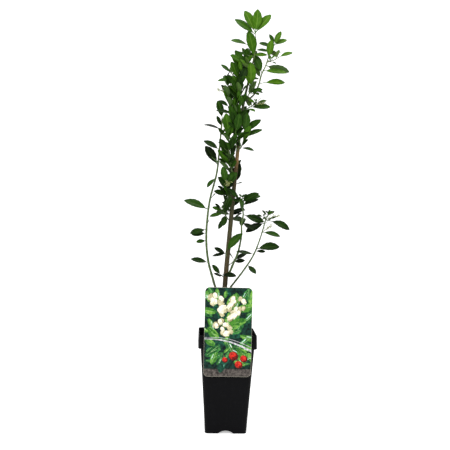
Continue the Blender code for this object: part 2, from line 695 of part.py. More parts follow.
class Mass:
    """One mass of foliage while it grows: its stem, and the twigs and leaves that found room."""

    def __init__(self, name, stem, others, chance):
        self.name = name
        self.stem = stem
        self.others = others
        self.chance = chance
        self.wood = [tube_mesh(name, stem, 1)]
        self.wood_trees = [tree_of(self.wood[0])]
        self.leaves = []
        self.leaf_trees = []

    def add_leaf(self, root, bearing, rise, length):
        """Try the bearing and its neighbours until the leaf touches nothing but its own twig."""
        light = self.chance.uniform(*LEAF_TURN)
        for turn in TURNS:
            ahead = heading(bearing + turn, rise)
            face = leaf_face(ahead, light)
            whole = tree_of(leaf_mesh(LEAF_STATIONS, root, ahead, face, length, ELBOW_ROOM))
            blade = tree_of(leaf_mesh(BLADE_STATIONS, root, ahead, face, length, ELBOW_ROOM / 3))
            own = self.wood_trees + self.leaf_trees
            if any(whole.overlap(t) for t in self.others) or any(blade.overlap(t) for t in own):
                continue
            self.leaves.append(leaf_mesh(LEAF_STATIONS, root, ahead, face, length))
            self.leaf_trees.append(blade)
            return

    def add_twig(self, limb, bevel_resolution=0):
        """Add a twig rooted in the stem, unless it would touch a limb, a leaf or another mass."""
        mesh = tube_mesh(self.name, limb, bevel_resolution)
        tree = tree_of(mesh)
        if any(tree.overlap(t) for t in self.others + self.leaf_trees):
            return False
        self.wood.append(mesh)
        self.wood_trees.append(tree)
        return True

    def add_spray(self, share, bearing, rise, twig_length, leaves, leaf_length):
        """A twig whose last leaf goes straight on, with the others round it by the golden angle."""
        root = self.stem.at(share)
        ahead = heading(bearing, rise)
        if leaves == 1 and twig_length <= SHORT_TWIG:
            self.add_leaf(root, bearing, rise, leaf_length + twig_length)
            return
        tip = root + ahead * twig_length
        middle = root.lerp(tip, 0.5) - Vector((0, 0, TWIG_SAG * twig_length))
        twig = Limb.through((root, middle, tip), (TWIG_RADIUS, TWIG_RADIUS * TWIG_TAPER), steps=2)
        if not self.add_twig(twig):
            return
        self.add_leaf(twig.at(0.985), bearing, rise, leaf_length)
        for k in range(leaves - 1):
            turn = GOLDEN_ANGLE * (k + 1)
            place = twig.at(0.95 - SIDE_LEAF_STEP * k)
            side_rise = min(STEEPEST, rise * 0.5 + 25)
            self.add_leaf(place, bearing + turn, side_rise, leaf_length * SIDE_LEAF)

    def add_fillers(self, count):
        """Upright leaves by turns to the front and the back of the stem."""
        for k in range(count):
            bearing = (270 if k % 2 else 90) + self.chance.uniform(-FILLER_SPREAD, FILLER_SPREAD)
            share = (k + 0.7) / (count + 0.4)
            length = FILLER_LENGTH * self.chance.uniform(*FILLER_SIZES)
            self.add_leaf(self.stem.at(share), bearing, self.chance.uniform(*FILLER_RISE), length)

    def add_panicle(self, share, bearing, rise, length):
        """A spray of flower buds: short stalks round a thin twig, each with a bud on its end."""
        root = self.stem.at(share)
        tip = root + heading(bearing, rise) * length
        axis = Limb([root, root.lerp(tip, 0.5), tip], (STALK_RADIUS * 1.2, STALK_RADIUS))
        if not self.add_twig(axis):
            return
        for k in range(BUDS):
            root = axis.at(0.30 + 0.70 * k / (BUDS - 1))
            ahead = heading(bearing + GOLDEN_ANGLE * k, 30) + axis.ahead(0.5) * 0.7
            bud = bud_mesh(root, ahead.normalized(), length * BUD_LENGTH)
            tree = tree_of(bud)
            if not any(tree.overlap(t) for t in self.others + self.leaf_trees):
                self.wood.append(bud)

    def fuse(self, parts):
        """Join the stem, twigs and leaves with one union, and drop what it leaves loose or sealed in."""
        pieces = bpy.data.collections.new(f"{self.name}_pieces")
        bpy.context.scene.collection.children.link(pieces)
        for mesh in self.wood[1:] + self.leaves:
            add_object(f"{self.name}_piece", mesh, pieces)
        obj = add_object(self.name, self.wood[0], parts)
        boolean(obj, "UNION", pieces)
        fused = evaluated_mesh(obj)
        obj.modifiers.clear()
        obj.data = fused
        for piece in list(pieces.objects):
            bpy.data.objects.remove(piece)
        bpy.data.collections.remove(pieces)
        keep_largest_body(fused)
        finish(obj, "foliage")
        return tree_of(fused)


def keep_largest_body(mesh):
    bm = bmesh.new()
    bm.from_mesh(mesh)
    bmesh.ops.remove_doubles(bm, verts=bm.verts, dist=0.000001)
    bmesh.ops.dissolve_degenerate(bm, edges=bm.edges, dist=0.000001)
    bm.verts.ensure_lookup_table()
    unseen = set(bm.verts)
    bodies = []
    while unseen:
        body = {unseen.pop()}
        edge_of_search = list(body)
        while edge_of_search:
            vert = edge_of_search.pop()
            for edge in vert.link_edges:
                other = edge.other_vert(vert)
                if other in unseen:
                    unseen.discard(other)
                    body.add(other)
                    edge_of_search.append(other)
        bodies.append(body)
    largest = max(bodies, key=len)
    bmesh.ops.delete(bm, geom=[v for v in bm.verts if v not in largest], context="VERTS")
    bm.to_mesh(mesh)
    bm.free()


def make_masses(parts, trunk, trees):
    """Grow the masses one after another, each clear of the limbs and of the masses before it."""
    gap = GAP / trunk.length
    top = trunk.part(LEADER_END + gap, 1.0, SHOOT_SPACING)
    stems = {"leader": (top, LEADER_SPRAYS, LEADER_FILLERS, ())}
    for name, shoot in SHOOTS.items():
        line = Limb.through(shoot.line, shoot.radii)
        start = shoot.bare + GAP / line.length if shoot.bare else line.comes_out_of(trunk)
        stem = line.part(start, 1.0, SHOOT_SPACING)
        stems[name] = (stem, shoot.sprays, shoot.fillers, shoot.panicles)
    stem_trees = {name: tree_of(tube_mesh(name, stem[0], 1)) for name, stem in stems.items()}
    chance = random.Random(SEED)
    grown = []
    for name, (stem, sprays, fillers, panicles) in stems.items():
        others = trees + grown + [t for other, t in stem_trees.items() if other != name]
        mass = Mass(f"{name}_foliage", stem, others, chance)
        for panicle in panicles:
            mass.add_panicle(*panicle)
        for spray in sprays:
            mass.add_spray(*spray)
        mass.add_fillers(fillers)
        grown.append(mass.fuse(parts))


def main():
    for obj in list(bpy.data.objects):
        bpy.data.objects.remove(obj)
    parts = new_collection(OBJECT_NAME)
    trunk = trunk_limb()
    trees = make_limbs(parts, trunk)
    make_masses(parts, trunk, trees)
    cutters = new_collection("cutters")
    make_pot(parts, cutters)
    make_compost(parts, cutters)
    make_card(parts, cutters)


main()
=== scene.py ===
"""Looks of a young strawberry tree in a deep square nursery pot, with its picture card hung on the rim.

The values are in millimetres, and MM turns them into metres. A bearing is an angle round the vertical in
degrees: 0 is +X, 90 the back, 180 is -X and 270 the front. A rise is above the horizontal.
"""

import bisect
import math
import random

import bmesh
import bpy
from mathutils import Matrix, Vector, noise
from mathutils.bvhtree import BVHTree


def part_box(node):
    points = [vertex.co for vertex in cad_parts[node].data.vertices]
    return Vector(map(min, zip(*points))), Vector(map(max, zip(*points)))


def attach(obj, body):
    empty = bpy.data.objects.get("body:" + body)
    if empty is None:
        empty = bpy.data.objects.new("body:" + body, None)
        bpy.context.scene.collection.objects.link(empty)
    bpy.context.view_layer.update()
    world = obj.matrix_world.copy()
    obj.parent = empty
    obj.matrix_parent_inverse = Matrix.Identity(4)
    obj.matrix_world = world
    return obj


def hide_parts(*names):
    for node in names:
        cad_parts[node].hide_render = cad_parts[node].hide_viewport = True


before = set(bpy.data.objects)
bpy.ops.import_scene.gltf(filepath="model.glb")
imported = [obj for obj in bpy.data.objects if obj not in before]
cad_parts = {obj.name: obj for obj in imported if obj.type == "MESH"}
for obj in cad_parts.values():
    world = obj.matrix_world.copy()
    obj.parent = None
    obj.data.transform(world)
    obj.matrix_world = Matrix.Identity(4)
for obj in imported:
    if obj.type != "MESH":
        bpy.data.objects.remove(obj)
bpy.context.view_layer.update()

MM = 0.001
GAP = 0.3


# ---------------------------------------------------------------- pot
# A deep square nursery container, injection-moulded in black polypropylene. It is one thin tapered wall
# with a wider collar round its top, a domed drain arch in the foot of each side, and softened edges.

POT_HEIGHT = 219.0
POT_FOOT_WIDTH = 92.0
POT_SHOULDER_WIDTH = 119.0
COLLAR_WIDTH = 130.0
RIM_WIDTH = 128.5
COLLAR_HEIGHT = 29.5
SHOULDER = POT_HEIGHT - COLLAR_HEIGHT
POT_WALL = 1.3
POT_FLOOR = 2.0
POT_CORNER_RADIUS = 8.0
CORNER_STEPS = 8
EDGE_RADIUS = 0.45
SMOOTH_ANGLE = 35  # an edge that turns by more stays sharp
ARCH_WIDTH = 34.0
ARCH_HEIGHT = 6.5
ARCH_DEPTH = 22.0
ARCH_RADIUS = ((ARCH_WIDTH / 2) ** 2 + ARCH_HEIGHT**2) / (2 * ARCH_HEIGHT)
ARCH_SIDES = 96
ARCH_OVERRUN = 10.0  # how far a cutter for the arches stands out of the wall
DRAIN_HOLE_DIAMETER = 7.0
DRAIN_HOLE_SIDES = 32
POLYPROPYLENE_COLOURS = ("#08080a", "#131315")
POLYPROPYLENE_ROUGHNESS = (0.40, 0.54)
POLYPROPYLENE_IOR = 1.49
SCUFF_SIZE = 9.0
SPARK_TEXTURE = 0.8  # grain of the spark-eroded mould; a real one is finer than would show


def linear(colour):
    """An sRGB hex colour as linear RGBA."""
    shares = [int(colour[i:i + 2], 16) / 255 for i in (1, 3, 5)]
    return tuple(s / 12.92 if s <= 0.04045 else ((s + 0.055) / 1.055) ** 2.4 for s in shares) + (1.0,)


def feed(material, node, inputs):
    """Give a node's inputs their values or hex colours, or link them from the outputs that feed them."""
    for socket, value in inputs.items():
        if isinstance(value, bpy.types.NodeSocket):
            material.node_tree.links.new(value, node.inputs[socket])
        else:
            node.inputs[socket].default_value = linear(value) if isinstance(value, str) else value


def add_node(material, kind, inputs=None, output=0, **settings):
    """Add a node with its settings, values and links, and give one of its outputs."""
    node = material.node_tree.nodes.new(kind)
    for name, value in settings.items():
        setattr(node, name, value)
    feed(material, node, inputs or {})
    return node.outputs[output]


def surface(material, **inputs):
    """Feed the Principled shader, whose sockets are named in words."""
    shader = material.node_tree.nodes["Principled BSDF"]
    feed(material, shader, {
        socket.replace("_", " ").title().replace("Ior", "IOR"): value for socket, value in inputs.items()
    })


def new_material(name, **inputs):
    """A material whose Principled shader has these inputs."""
    material = bpy.data.materials.new(name)
    material.use_nodes = True
    surface(material, **inputs)
    return material


def mottle(material, size, tones, detail, roughness=0.5, between=(0.0, 1.0), most=1.0):
    """Two tones in clouds of a size in millimetres: the colour, and the clouds that it follows.

    The second tone comes in between two values of the clouds, up to a share of most.
    """
    place = add_node(material, "ShaderNodeTexCoord", output="Object")
    clouds = add_node(material, "ShaderNodeTexNoise", {
        "Vector": place, "Scale": 1 / (size * MM), "Detail": detail, "Roughness": roughness,
    })
    share = add_node(material, "ShaderNodeMapRange", {
        "Value": clouds, "From Min": between[0], "From Max": between[1], "To Max": most,
    })
    inputs = {0: share, 6: tones[0], 7: tones[1]}
    return add_node(material, "ShaderNodeMix", inputs, 2, data_type="RGBA"), clouds


def select_only(obj):
    """Select one object and make it the active one, with everything else deselected."""
    bpy.ops.object.select_all(action="DESELECT")
    obj.select_set(True)
    bpy.context.view_layer.objects.active = obj


def pick(kind, test):
    """In edit mode, select only the vertices or the edges that pass a test."""
    bpy.ops.mesh.select_mode(type=kind)
    bpy.ops.mesh.select_all(action="DESELECT")
    mesh = bpy.context.object.data
    bm = bmesh.from_edit_mesh(mesh)
    for part in bm.verts if kind == "VERT" else bm.edges:
        if test(part):
            part.select_set(True)
    bmesh.update_edit_mesh(mesh)


def apply_all(obj):
    """Apply the modifiers in their order."""
    select_only(obj)
    for modifier in list(obj.modifiers):
        bpy.ops.object.modifier_apply(modifier=modifier.name)


def square_stack(name, levels, corner):
    """A solid with a rounded square section, extruded up from a plane through (height, width) levels."""
    height, width = levels[0]
    bpy.ops.object.select_all(action="DESELECT")
    bpy.ops.mesh.primitive_plane_add(size=width * MM, location=(0, 0, height * MM))
    solid = bpy.context.object
    solid.name = name
    bpy.ops.object.transform_apply(location=True)
    bpy.ops.object.mode_set(mode="EDIT")
    bpy.ops.mesh.select_all(action="SELECT")
    bpy.ops.mesh.bevel(offset=corner * MM, segments=CORNER_STEPS, affect="VERTICES")
    bpy.ops.mesh.select_all(action="SELECT")
    for next_height, next_width in levels[1:]:
        rise = (next_height - height) * MM
        bpy.ops.mesh.extrude_region_move(TRANSFORM_OT_translate={"value": (0, 0, rise)})
        bpy.ops.transform.resize(value=(next_width / width, next_width / width, 1))
        height, width = next_height, next_width
    bpy.ops.mesh.select_all(action="SELECT")
    bpy.ops.mesh.normals_make_consistent(inside=False)
    bpy.ops.object.mode_set(mode="OBJECT")
    return solid


def body_width(height):
    """The pot's outer width at a height, below its collar."""
    return POT_FOOT_WIDTH + (POT_SHOULDER_WIDTH - POT_FOOT_WIDTH) * height / SHOULDER


def cylinders(radius, length, reach, height, sides, tilt):
    """One cylinder for each side of the pot, at a reach from its axis and a height, as one object."""
    bpy.ops.object.select_all(action="DESELECT")
    made = []
    for side in range(4):
        turn = math.radians(90 * side)
        bpy.ops.mesh.primitive_cylinder_add(
            vertices=sides, radius=radius * MM, depth=length * MM,
            location=Matrix.Rotation(turn, 3, "Z") @ Vector((reach, 0, height)) * MM,
            rotation=(0, math.radians(tilt), turn),
        )
        made.append(bpy.context.object)
    for cylinder in made:
        cylinder.select_set(True)
    bpy.ops.object.join()
    bpy.ops.object.transform_apply(location=True, rotation=True)
    return bpy.context.object


def lying_arches(spread):
    """The hollows of the drain arches, larger by a spread."""
    length = ARCH_DEPTH + ARCH_OVERRUN
    reach = POT_FOOT_WIDTH / 2 - ARCH_DEPTH - spread + length / 2
    return cylinders(ARCH_RADIUS + spread, length, reach, ARCH_HEIGHT - ARCH_RADIUS, ARCH_SIDES, 90)


def drain_holes():
    """Upright holes through the hollows' roofs, in the middle of each side."""
    reach = (POT_FOOT_WIDTH - ARCH_DEPTH) / 2
    return cylinders(DRAIN_HOLE_DIAMETER / 2, 4 * ARCH_HEIGHT, reach, 0, DRAIN_HOLE_SIDES, 0)


def cut(obj, *cutters):
    """Cut an object by others, which are then removed."""
    for cutter in cutters:
        modifier = obj.modifiers.new("cut", "BOOLEAN")
        modifier.operation = "DIFFERENCE"
        modifier.object = cutter
    apply_all(obj)
    for cutter in cutters:
        bpy.data.objects.remove(cutter)


def soften(obj, radius, segments=2, angle=40):
    """Round the sharp edges, and shade smooth between them."""
    modifier = obj.modifiers.new("edges", "BEVEL")
    modifier.width = radius * MM
    modifier.segments = segments
    modifier.limit_method = "ANGLE"
    modifier.angle_limit = math.radians(angle)
    apply_all(obj)
    bpy.ops.object.shade_smooth_by_angle(angle=math.radians(SMOOTH_ANGLE))


def dress(piece, material, slot, *nodes):
    """Give a piece its material, let it ride with the plant, and hide the parts that it stands for; the slot
    is not used.
    """
    piece.data.materials.clear()
    piece.data.materials.append(material)
    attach(piece, "root")
    if nodes:
        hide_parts(*nodes)


pot = square_stack(
    "pot_moulding",
    ((0.0, POT_FOOT_WIDTH), (SHOULDER, POT_SHOULDER_WIDTH), (SHOULDER, COLLAR_WIDTH),
     (POT_HEIGHT, RIM_WIDTH)),
    POT_CORNER_RADIUS,
)
soften(pot, EDGE_RADIUS)
inner_foot = body_width(POT_FLOOR) - 2 * POT_WALL
inner_shoulder = body_width(SHOULDER + POT_WALL) - 2 * POT_WALL
inner_rim = RIM_WIDTH - 2 * POT_WALL
cavity = square_stack(
    "cavity",
    ((POT_FLOOR, inner_foot), (SHOULDER + POT_WALL, inner_shoulder), (SHOULDER + POT_WALL, inner_rim),
     (POT_HEIGHT + POT_WALL, inner_rim)),
    POT_CORNER_RADIUS - POT_WALL,
)
cut(cavity, lying_arches(POT_WALL))
cut(pot, cavity, lying_arches(0.0), drain_holes())
select_only(pot)
bpy.ops.object.shade_smooth_by_angle(angle=math.radians(SMOOTH_ANGLE))

# Black polypropylene: satin, with a faint moulded grain and slightly paler scuffs.
polypropylene = new_material("moulded_polypropylene", ior=POLYPROPYLENE_IOR, specular_ior_level=0.05)
shade, scuffs = mottle(polypropylene, SCUFF_SIZE, POLYPROPYLENE_COLOURS, 8.0, 0.7, (0.52, 0.80), 0.55)
gloss = add_node(polypropylene, "ShaderNodeMapRange", {
    "Value": scuffs, "To Min": POLYPROPYLENE_ROUGHNESS[0], "To Max": POLYPROPYLENE_ROUGHNESS[1],
})
place = add_node(polypropylene, "ShaderNodeTexCoord", output="Object")
grain = add_node(polypropylene, "ShaderNodeTexNoise", {
    "Vector": place, "Scale": 1 / (SPARK_TEXTURE * MM), "Detail": 2.0,
})
relief = add_node(polypropylene, "ShaderNodeBump", {"Height": grain, "Strength": 0.25, "Distance": 0.06 * MM})
surface(polypropylene, base_color=shade, roughness=gloss, normal=relief)
dress(pot, polypropylene, "pot", "pot")


# ---------------------------------------------------------------- compost
# Moist potting compost of peat and shredded bark, filled to below the rim. Its surface is lumpy, with
# loose chips of bark lying on it and half sunk in it.

COMPOST_LEVEL = 197.0
GROUND = COMPOST_LEVEL + GAP
COMPOST_SWELL = 2.2  # highest lump above the level; hollows are as deep
COMPOST_CELLS = 84
LUMP_SIZES = (14.0, 4.0)
COMPOST_EDGE = 9.0  # how far from the wall the surface starts to dip
CHIP_COUNT = 330
CHIP_SIZES = (1.6, 5.0)
CHIP_MARGIN = 6.0  # kept clear along the wall
CHIP_TILT = 0.5
CHIP_WIDTHS = (0.3, 0.7)  # of the length
CHIP_THICKNESSES = (0.15, 0.35)
CHIP_LIFT = 0.2  # of its middle, above the surface
COMPOST_COLOURS = ("#17110c", "#33241a")
CHIP_COLOURS = ("#3a281b", "#6a4c34")
CRUMB = 1.6
WOOD_STREAK = 5.0

half = RIM_WIDTH / 2 - POT_WALL - GAP
corner = POT_CORNER_RADIUS - POT_WALL


def in_rounded_square(x, y):
    """Draw the corners of a square grid in to the pot's inner corner radius."""
    over = Vector((max(0.0, abs(x) - (half - corner)), max(0.0, abs(y) - (half - corner))))
    if over.length > 0:
        shrink = max(over) / over.length
        x = math.copysign(min(abs(x), half - corner) + over.x * shrink, x)
        y = math.copysign(min(abs(y), half - corner) + over.y * shrink, y)
    return x, y


def compost_height(x, y):
    """Lumps of two sizes, and a dip along the wall."""
    large, small = LUMP_SIZES
    lumps = noise.noise(Vector((x, y, 0)) / large) + 0.5 * noise.noise(Vector((x, y, 30)) / small)
    edge = max(0.0, max(abs(x), abs(y)) - (half - COMPOST_EDGE)) / COMPOST_EDGE
    return COMPOST_LEVEL + COMPOST_SWELL * (lumps * (1 - edge) - 0.9 * edge)


def add_object(name, data):
    """A new object in the scene."""
    obj = bpy.data.objects.new(name, data)
    bpy.context.scene.collection.objects.link(obj)
    return obj


bpy.ops.object.select_all(action="DESELECT")
bpy.ops.mesh.primitive_grid_add(
    x_subdivisions=COMPOST_CELLS, y_subdivisions=COMPOST_CELLS, size=2 * half * MM,
    location=(0, 0, COMPOST_LEVEL * MM),
)
compost = bpy.context.object
compost.name = "compost_fill"
bpy.ops.object.transform_apply(location=True)
for vert in compost.data.vertices:
    x, y = in_rounded_square(vert.co.x / MM, vert.co.y / MM)
    vert.co = Vector((x, y, compost_height(x, y))) * MM
bpy.ops.object.mode_set(mode="EDIT")
pick("EDGE", lambda edge: edge.is_boundary)
width = 2 * half
for next_height, next_width in (
    (SHOULDER + POT_WALL + GAP, 2 * half),
    (SHOULDER + POT_WALL + GAP, inner_shoulder - 2 * GAP),
    (POT_FLOOR + GAP, inner_foot - 2 * GAP),
):
    bpy.ops.mesh.extrude_region_move()
    bpy.ops.transform.resize(value=(next_width / width, next_width / width, 1))
    bm = bmesh.from_edit_mesh(compost.data)
    for vert in bm.verts:
        if vert.select:
            vert.co.z = next_height * MM
    bmesh.update_edit_mesh(compost.data)
    width = next_width
bpy.ops.mesh.edge_face_add()
bpy.ops.mesh.select_all(action="SELECT")
bpy.ops.mesh.normals_make_consistent(inside=False)
bpy.ops.object.mode_set(mode="OBJECT")
cut(compost, lying_arches(POT_WALL + GAP))
select_only(compost)
bpy.ops.object.shade_smooth_by_angle(angle=math.radians(60))

# Potting compost: near black and matt where moist, browner where crumbs have dried.
potting_compost = new_material("potting_compost", roughness=0.96, specular_ior_level=0.25)
shade, crumbs = mottle(potting_compost, CRUMB, COMPOST_COLOURS, 6.0, 0.65, (0.35, 0.7))
inputs = {"Height": crumbs, "Strength": 1.0, "Distance": 0.8 * MM}
relief = add_node(potting_compost, "ShaderNodeBump", inputs)
surface(potting_compost, base_color=shade, normal=relief)
dress(compost, potting_compost, "compost", "compost")

chance = random.Random(61)
chips = bmesh.new()
for _ in range(CHIP_COUNT):
    x, y = (chance.uniform(-half + CHIP_MARGIN, half - CHIP_MARGIN) for _ in range(2))
    size = chance.uniform(*CHIP_SIZES)
    bearing, tilt = chance.uniform(0, math.tau), chance.uniform(-CHIP_TILT, CHIP_TILT)
    turn = Matrix.Rotation(bearing, 4, "Z") @ Matrix.Rotation(tilt, 4, "X")
    width, thickness = chance.uniform(*CHIP_WIDTHS), chance.uniform(*CHIP_THICKNESSES)
    shape = Matrix.Diagonal((size, size * width, size * thickness, 1))
    place = Matrix.Translation(Vector((x, y, compost_height(x, y) + CHIP_LIFT)))
    bmesh.ops.create_icosphere(
        chips, subdivisions=1, radius=1.0, matrix=Matrix.Scale(MM, 4) @ place @ turn @ shape
    )
chip_mesh = bpy.data.meshes.new("compost_chips")
chips.to_mesh(chip_mesh)
chips.free()
compost_chips = add_object("compost_chips", chip_mesh)

# Shredded bark: dry, matt, with streaks of lighter wood.
shredded_bark = new_material("shredded_bark", roughness=0.88)
surface(shredded_bark, base_color=mottle(shredded_bark, WOOD_STREAK, CHIP_COLOURS, 5.0)[0])
dress(compost_chips, shredded_bark, "compost")


# ---------------------------------------------------------------- picture card
# A die-cut sheet of pale polypropylene with round corners, bowed a little, whose welded tongue hooks behind
# the pot's rim. Its face is offset-printed with a garden picture: leaves, cream bells and red fruits.

CARD_WIDTH = 104.0
CARD_HEIGHT = 195.0
CARD_THICKNESS = 0.8
CARD_CORNER_RADIUS = 10.0
CARD_CENTRE_X = -0.5
CARD_FOOT = 130.5
CARD_BACK = -COLLAR_WIDTH / 2 - GAP
CORNER_CUTS = 24  # straight cuts all round, a quarter of them at each corner
CARD_EDGE_RADIUS = 0.12
CARD_BOW = 1.5  # how far the upright edges stand forward of the middle
CARD_MARGIN = 0.35  # unprinted edge
CARD_CELLS = (13, 25)
TONGUE_WIDTH = 32.0
TONGUE_REACH = 18.0
TONGUE_TOP = 34.0
TONGUE_BEND = 12.0
INK = 0.012
LAYER = 0.018  # between one ink and the next
CARD_COLOURS = ("#c4c0ae", "#b3af9c")
HAZE = 20.0
INK_TONE = 5.0  # size of the clouds of tone in a printed colour
BAND_HEIGHT = 17.0  # grey foot band
WAVE_FOOT = 70.0  # middle of the pale wave that parts the flowers from the fruits
WAVE_DROP = 26.0  # from one side of the card to the other
WAVE_SWELL = 7.0
WAVE_CELLS = 40
CARD_SEED = 12


def trim_to_card(bm, margin):
    """Cut flat shapes back to the card's outline, less a margin."""
    half_width, half_height = CARD_WIDTH / 2, CARD_HEIGHT / 2
    for step in range(CORNER_CUTS):
        turn = math.radians(360 / CORNER_CUTS * step)
        out = Vector((math.cos(turn), math.sin(turn), 0))
        centre = Vector((
            math.copysign(half_width - CARD_CORNER_RADIUS, out.x),
            half_height + math.copysign(half_height - CARD_CORNER_RADIUS, out.y), 0,
        ))
        bmesh.ops.bisect_plane(
            bm, geom=bm.verts[:] + bm.edges[:] + bm.faces[:], dist=1e-5, clear_outer=True,
            plane_co=centre + out * (CARD_CORNER_RADIUS - margin), plane_no=out,
        )


def hang(bm, name, front, thickness):
    """Stand flat shapes up at a distance in front of the collar, bowed as the card is, and thicken them."""
    for vert in bm.verts:
        u, v = vert.co.x, vert.co.y
        bow = CARD_BOW * (2 * u / CARD_WIDTH) ** 2
        vert.co = Vector((CARD_CENTRE_X + u, CARD_BACK - front - bow, CARD_FOOT + v)) * MM
    mesh = bpy.data.meshes.new(name)
    bm.to_mesh(mesh)
    bm.free()
    piece = add_object(name, mesh)
    wall = piece.modifiers.new("thickness", "SOLIDIFY")
    wall.thickness = thickness * MM
    wall.offset = -1.0
    apply_all(piece)
    return piece


def panel(bm, low, high, cells=CARD_CELLS):
    """A flat rectangle between two corners, in cells so that it can bow."""
    middle = Vector((low[0] + high[0], low[1] + high[1])) / 2
    size = Vector((high[0] - low[0], high[1] - low[1], 2)) / 2
    bmesh.ops.create_grid(
        bm, x_segments=cells[0], y_segments=cells[1], size=1.0,
        matrix=Matrix.Translation((*middle, 0)) @ Matrix.Diagonal((*size, 1)),
    )


def oval(bm, u, v, length, width, turn, pointed=1.0, sides=12):
    """A flat oval. Its ends are round where pointed is 1, and the sharper the higher it is."""
    made = bmesh.ops.create_circle(bm, cap_ends=True, segments=sides, radius=1.0)
    for vert in made["verts"]:
        along = vert.co.x * length / 2
        across = math.copysign(abs(vert.co.y) ** pointed, vert.co.y) * width / 2
        vert.co = Vector((
            u + along * math.cos(turn) - across * math.sin(turn),
            v + along * math.sin(turn) + across * math.cos(turn), 0,
        ))


def ink_material(name, *tones):
    """Glossy offset ink, which runs a little from one tone to another, as in a printed picture."""
    material = new_material(name, roughness=0.34, specular_ior_level=0.1)
    surface(material, base_color=mottle(material, INK_TONE, tones, 5.0, 0.65, (0.38, 0.62))[0])
    return material


card_flat = bmesh.new()
panel(card_flat, (-CARD_WIDTH / 2, 0), (CARD_WIDTH / 2, CARD_HEIGHT))
trim_to_card(card_flat, 0.0)
card = hang(card_flat, "card_sheet", 0.0, -CARD_THICKNESS)

tongue_back = -RIM_WIDTH / 2 + POT_WALL + GAP + CARD_THICKNESS
path = (
    (CARD_BACK + CARD_THICKNESS / 2, POT_HEIGHT + TONGUE_TOP),
    (CARD_BACK + CARD_THICKNESS / 2, POT_HEIGHT + TONGUE_BEND),
    (tongue_back, POT_HEIGHT + CARD_THICKNESS),
    (tongue_back, POT_HEIGHT - TONGUE_REACH),
)
bpy.ops.object.select_all(action="DESELECT")
bpy.ops.mesh.primitive_plane_add(size=TONGUE_WIDTH * MM)
tongue = bpy.context.object
bpy.ops.object.mode_set(mode="EDIT")
pick("VERT", lambda vert: vert.co.y > 0)
bpy.ops.mesh.delete(type="VERT")
bpy.ops.mesh.select_all(action="SELECT")
bm = bmesh.from_edit_mesh(tongue.data)
for vert in bm.verts:
    vert.co = Vector((vert.co.x / MM + CARD_CENTRE_X, *path[0])) * MM
bmesh.update_edit_mesh(tongue.data)
for (y, z), (next_y, next_z) in zip(path, path[1:]):
    step = Vector((0, next_y - y, next_z - z)) * MM
    bpy.ops.mesh.extrude_region_move(TRANSFORM_OT_translate={"value": step})
bpy.ops.object.mode_set(mode="OBJECT")
wall = tongue.modifiers.new("thickness", "SOLIDIFY")
wall.thickness = CARD_THICKNESS * MM
wall.offset = 0.0
wall.use_even_offset = True
apply_all(tongue)
card.select_set(True)
bpy.context.view_layer.objects.active = card
bpy.ops.object.join()
soften(card, CARD_EDGE_RADIUS, segments=1, angle=60)

# Polypropylene sheet: pale, smooth and slightly milky at its cut edges.
card_sheet = new_material("polypropylene_sheet", roughness=0.34, ior=POLYPROPYLENE_IOR)
surface(card_sheet, base_color=mottle(card_sheet, HAZE, CARD_COLOURS, 4.0)[0])
dress(card, card_sheet, "label", "label")

INKS = {  # in the order of printing, each with the two tones that it runs between
    "ground": ("#04100f", "#163a30"), "band": ("#2a2725", "#625b56"),
    "far_leaves": ("#08281f", "#1d5540"), "far_sheen": ("#1f6a4c", "#6aa791"),
    "leaves": ("#103a1a", "#2f7038"), "leaf_halves": ("#1f5f2c", "#4f9648"),
    "near_leaves": ("#235c1f", "#4f8a2e"), "near_halves": ("#3f7f2f", "#83b34c"),
    "ribs": ("#5f9452", "#a9c98c"), "sheen": ("#8fbfae", "#e6f3ee"), "stalks": ("#4d3d24", "#86764a"),
    "wave": ("#8f8f92", "#d6d6d8"), "fruit_shade": ("#2f0508", "#6f0f0c"),
    "fruit": ("#8a100d", "#d42a1e"), "fruit_grain": ("#d8442f", "#f07a5c"),
    "far_bell_edges": ("#4f4a2c", "#857c50"), "far_bells": ("#a39b70", "#d6cfab"),
    "bell_edges": ("#6f653c", "#a99e70"), "bells": ("#ddd6b6", "#f4efdc"),
    "bell_light": ("#fbf9ee", "#ffffff"), "bell_mouths": ("#b3a571", "#cfc496"),
}
LEAVES_PER_KIND = 34
BELL_SIZE = (9.4, 12.0)
CLUSTERS = (  # where each hanging cluster of bells starts, its reach down, its lean, its bells
    (-33, 180, 44, 0.45, 17), (22, 172, 50, -0.3, 22), (-22, 120, 34, 0.6, 13),
)
CLUSTER_SPREAD = 17.0
FRUITS = ((12, 46, 20), (35, 40, 16), (24, 27, 17), (-6, 37, 12))
FRUIT_GRAINS = 30
GOLDEN_ANGLE = 137.5

chance = random.Random(CARD_SEED)
inks = {name: bmesh.new() for name in INKS}


def leaf_print(u, v, length, turn, kind, half, sheen):
    """A printed leaf: the blade, its lit half beside the midrib, the rib, and a streak of sky on it."""
    width = length * chance.uniform(0.34, 0.5)
    side = chance.choice((-1, 1))
    off_u, off_v = -math.sin(turn) * width * 0.2 * side, math.cos(turn) * width * 0.2 * side
    oval(inks[kind], u, v, length, width, turn, 1.4)
    if half:
        oval(inks[half], u + off_u, v + off_v, length * 0.86, width * 0.5, turn, 1.2)
        oval(inks["ribs"], u, v, length * 0.9, length * 0.026, turn, 0.8, 6)
    if chance.random() < 0.45:
        streak = length * chance.uniform(0.3, 0.55)
        oval(inks[sheen], u + off_u * 1.3, v + off_v * 1.3, streak, width * 0.13, turn + 0.06 * side, 1.2, 8)


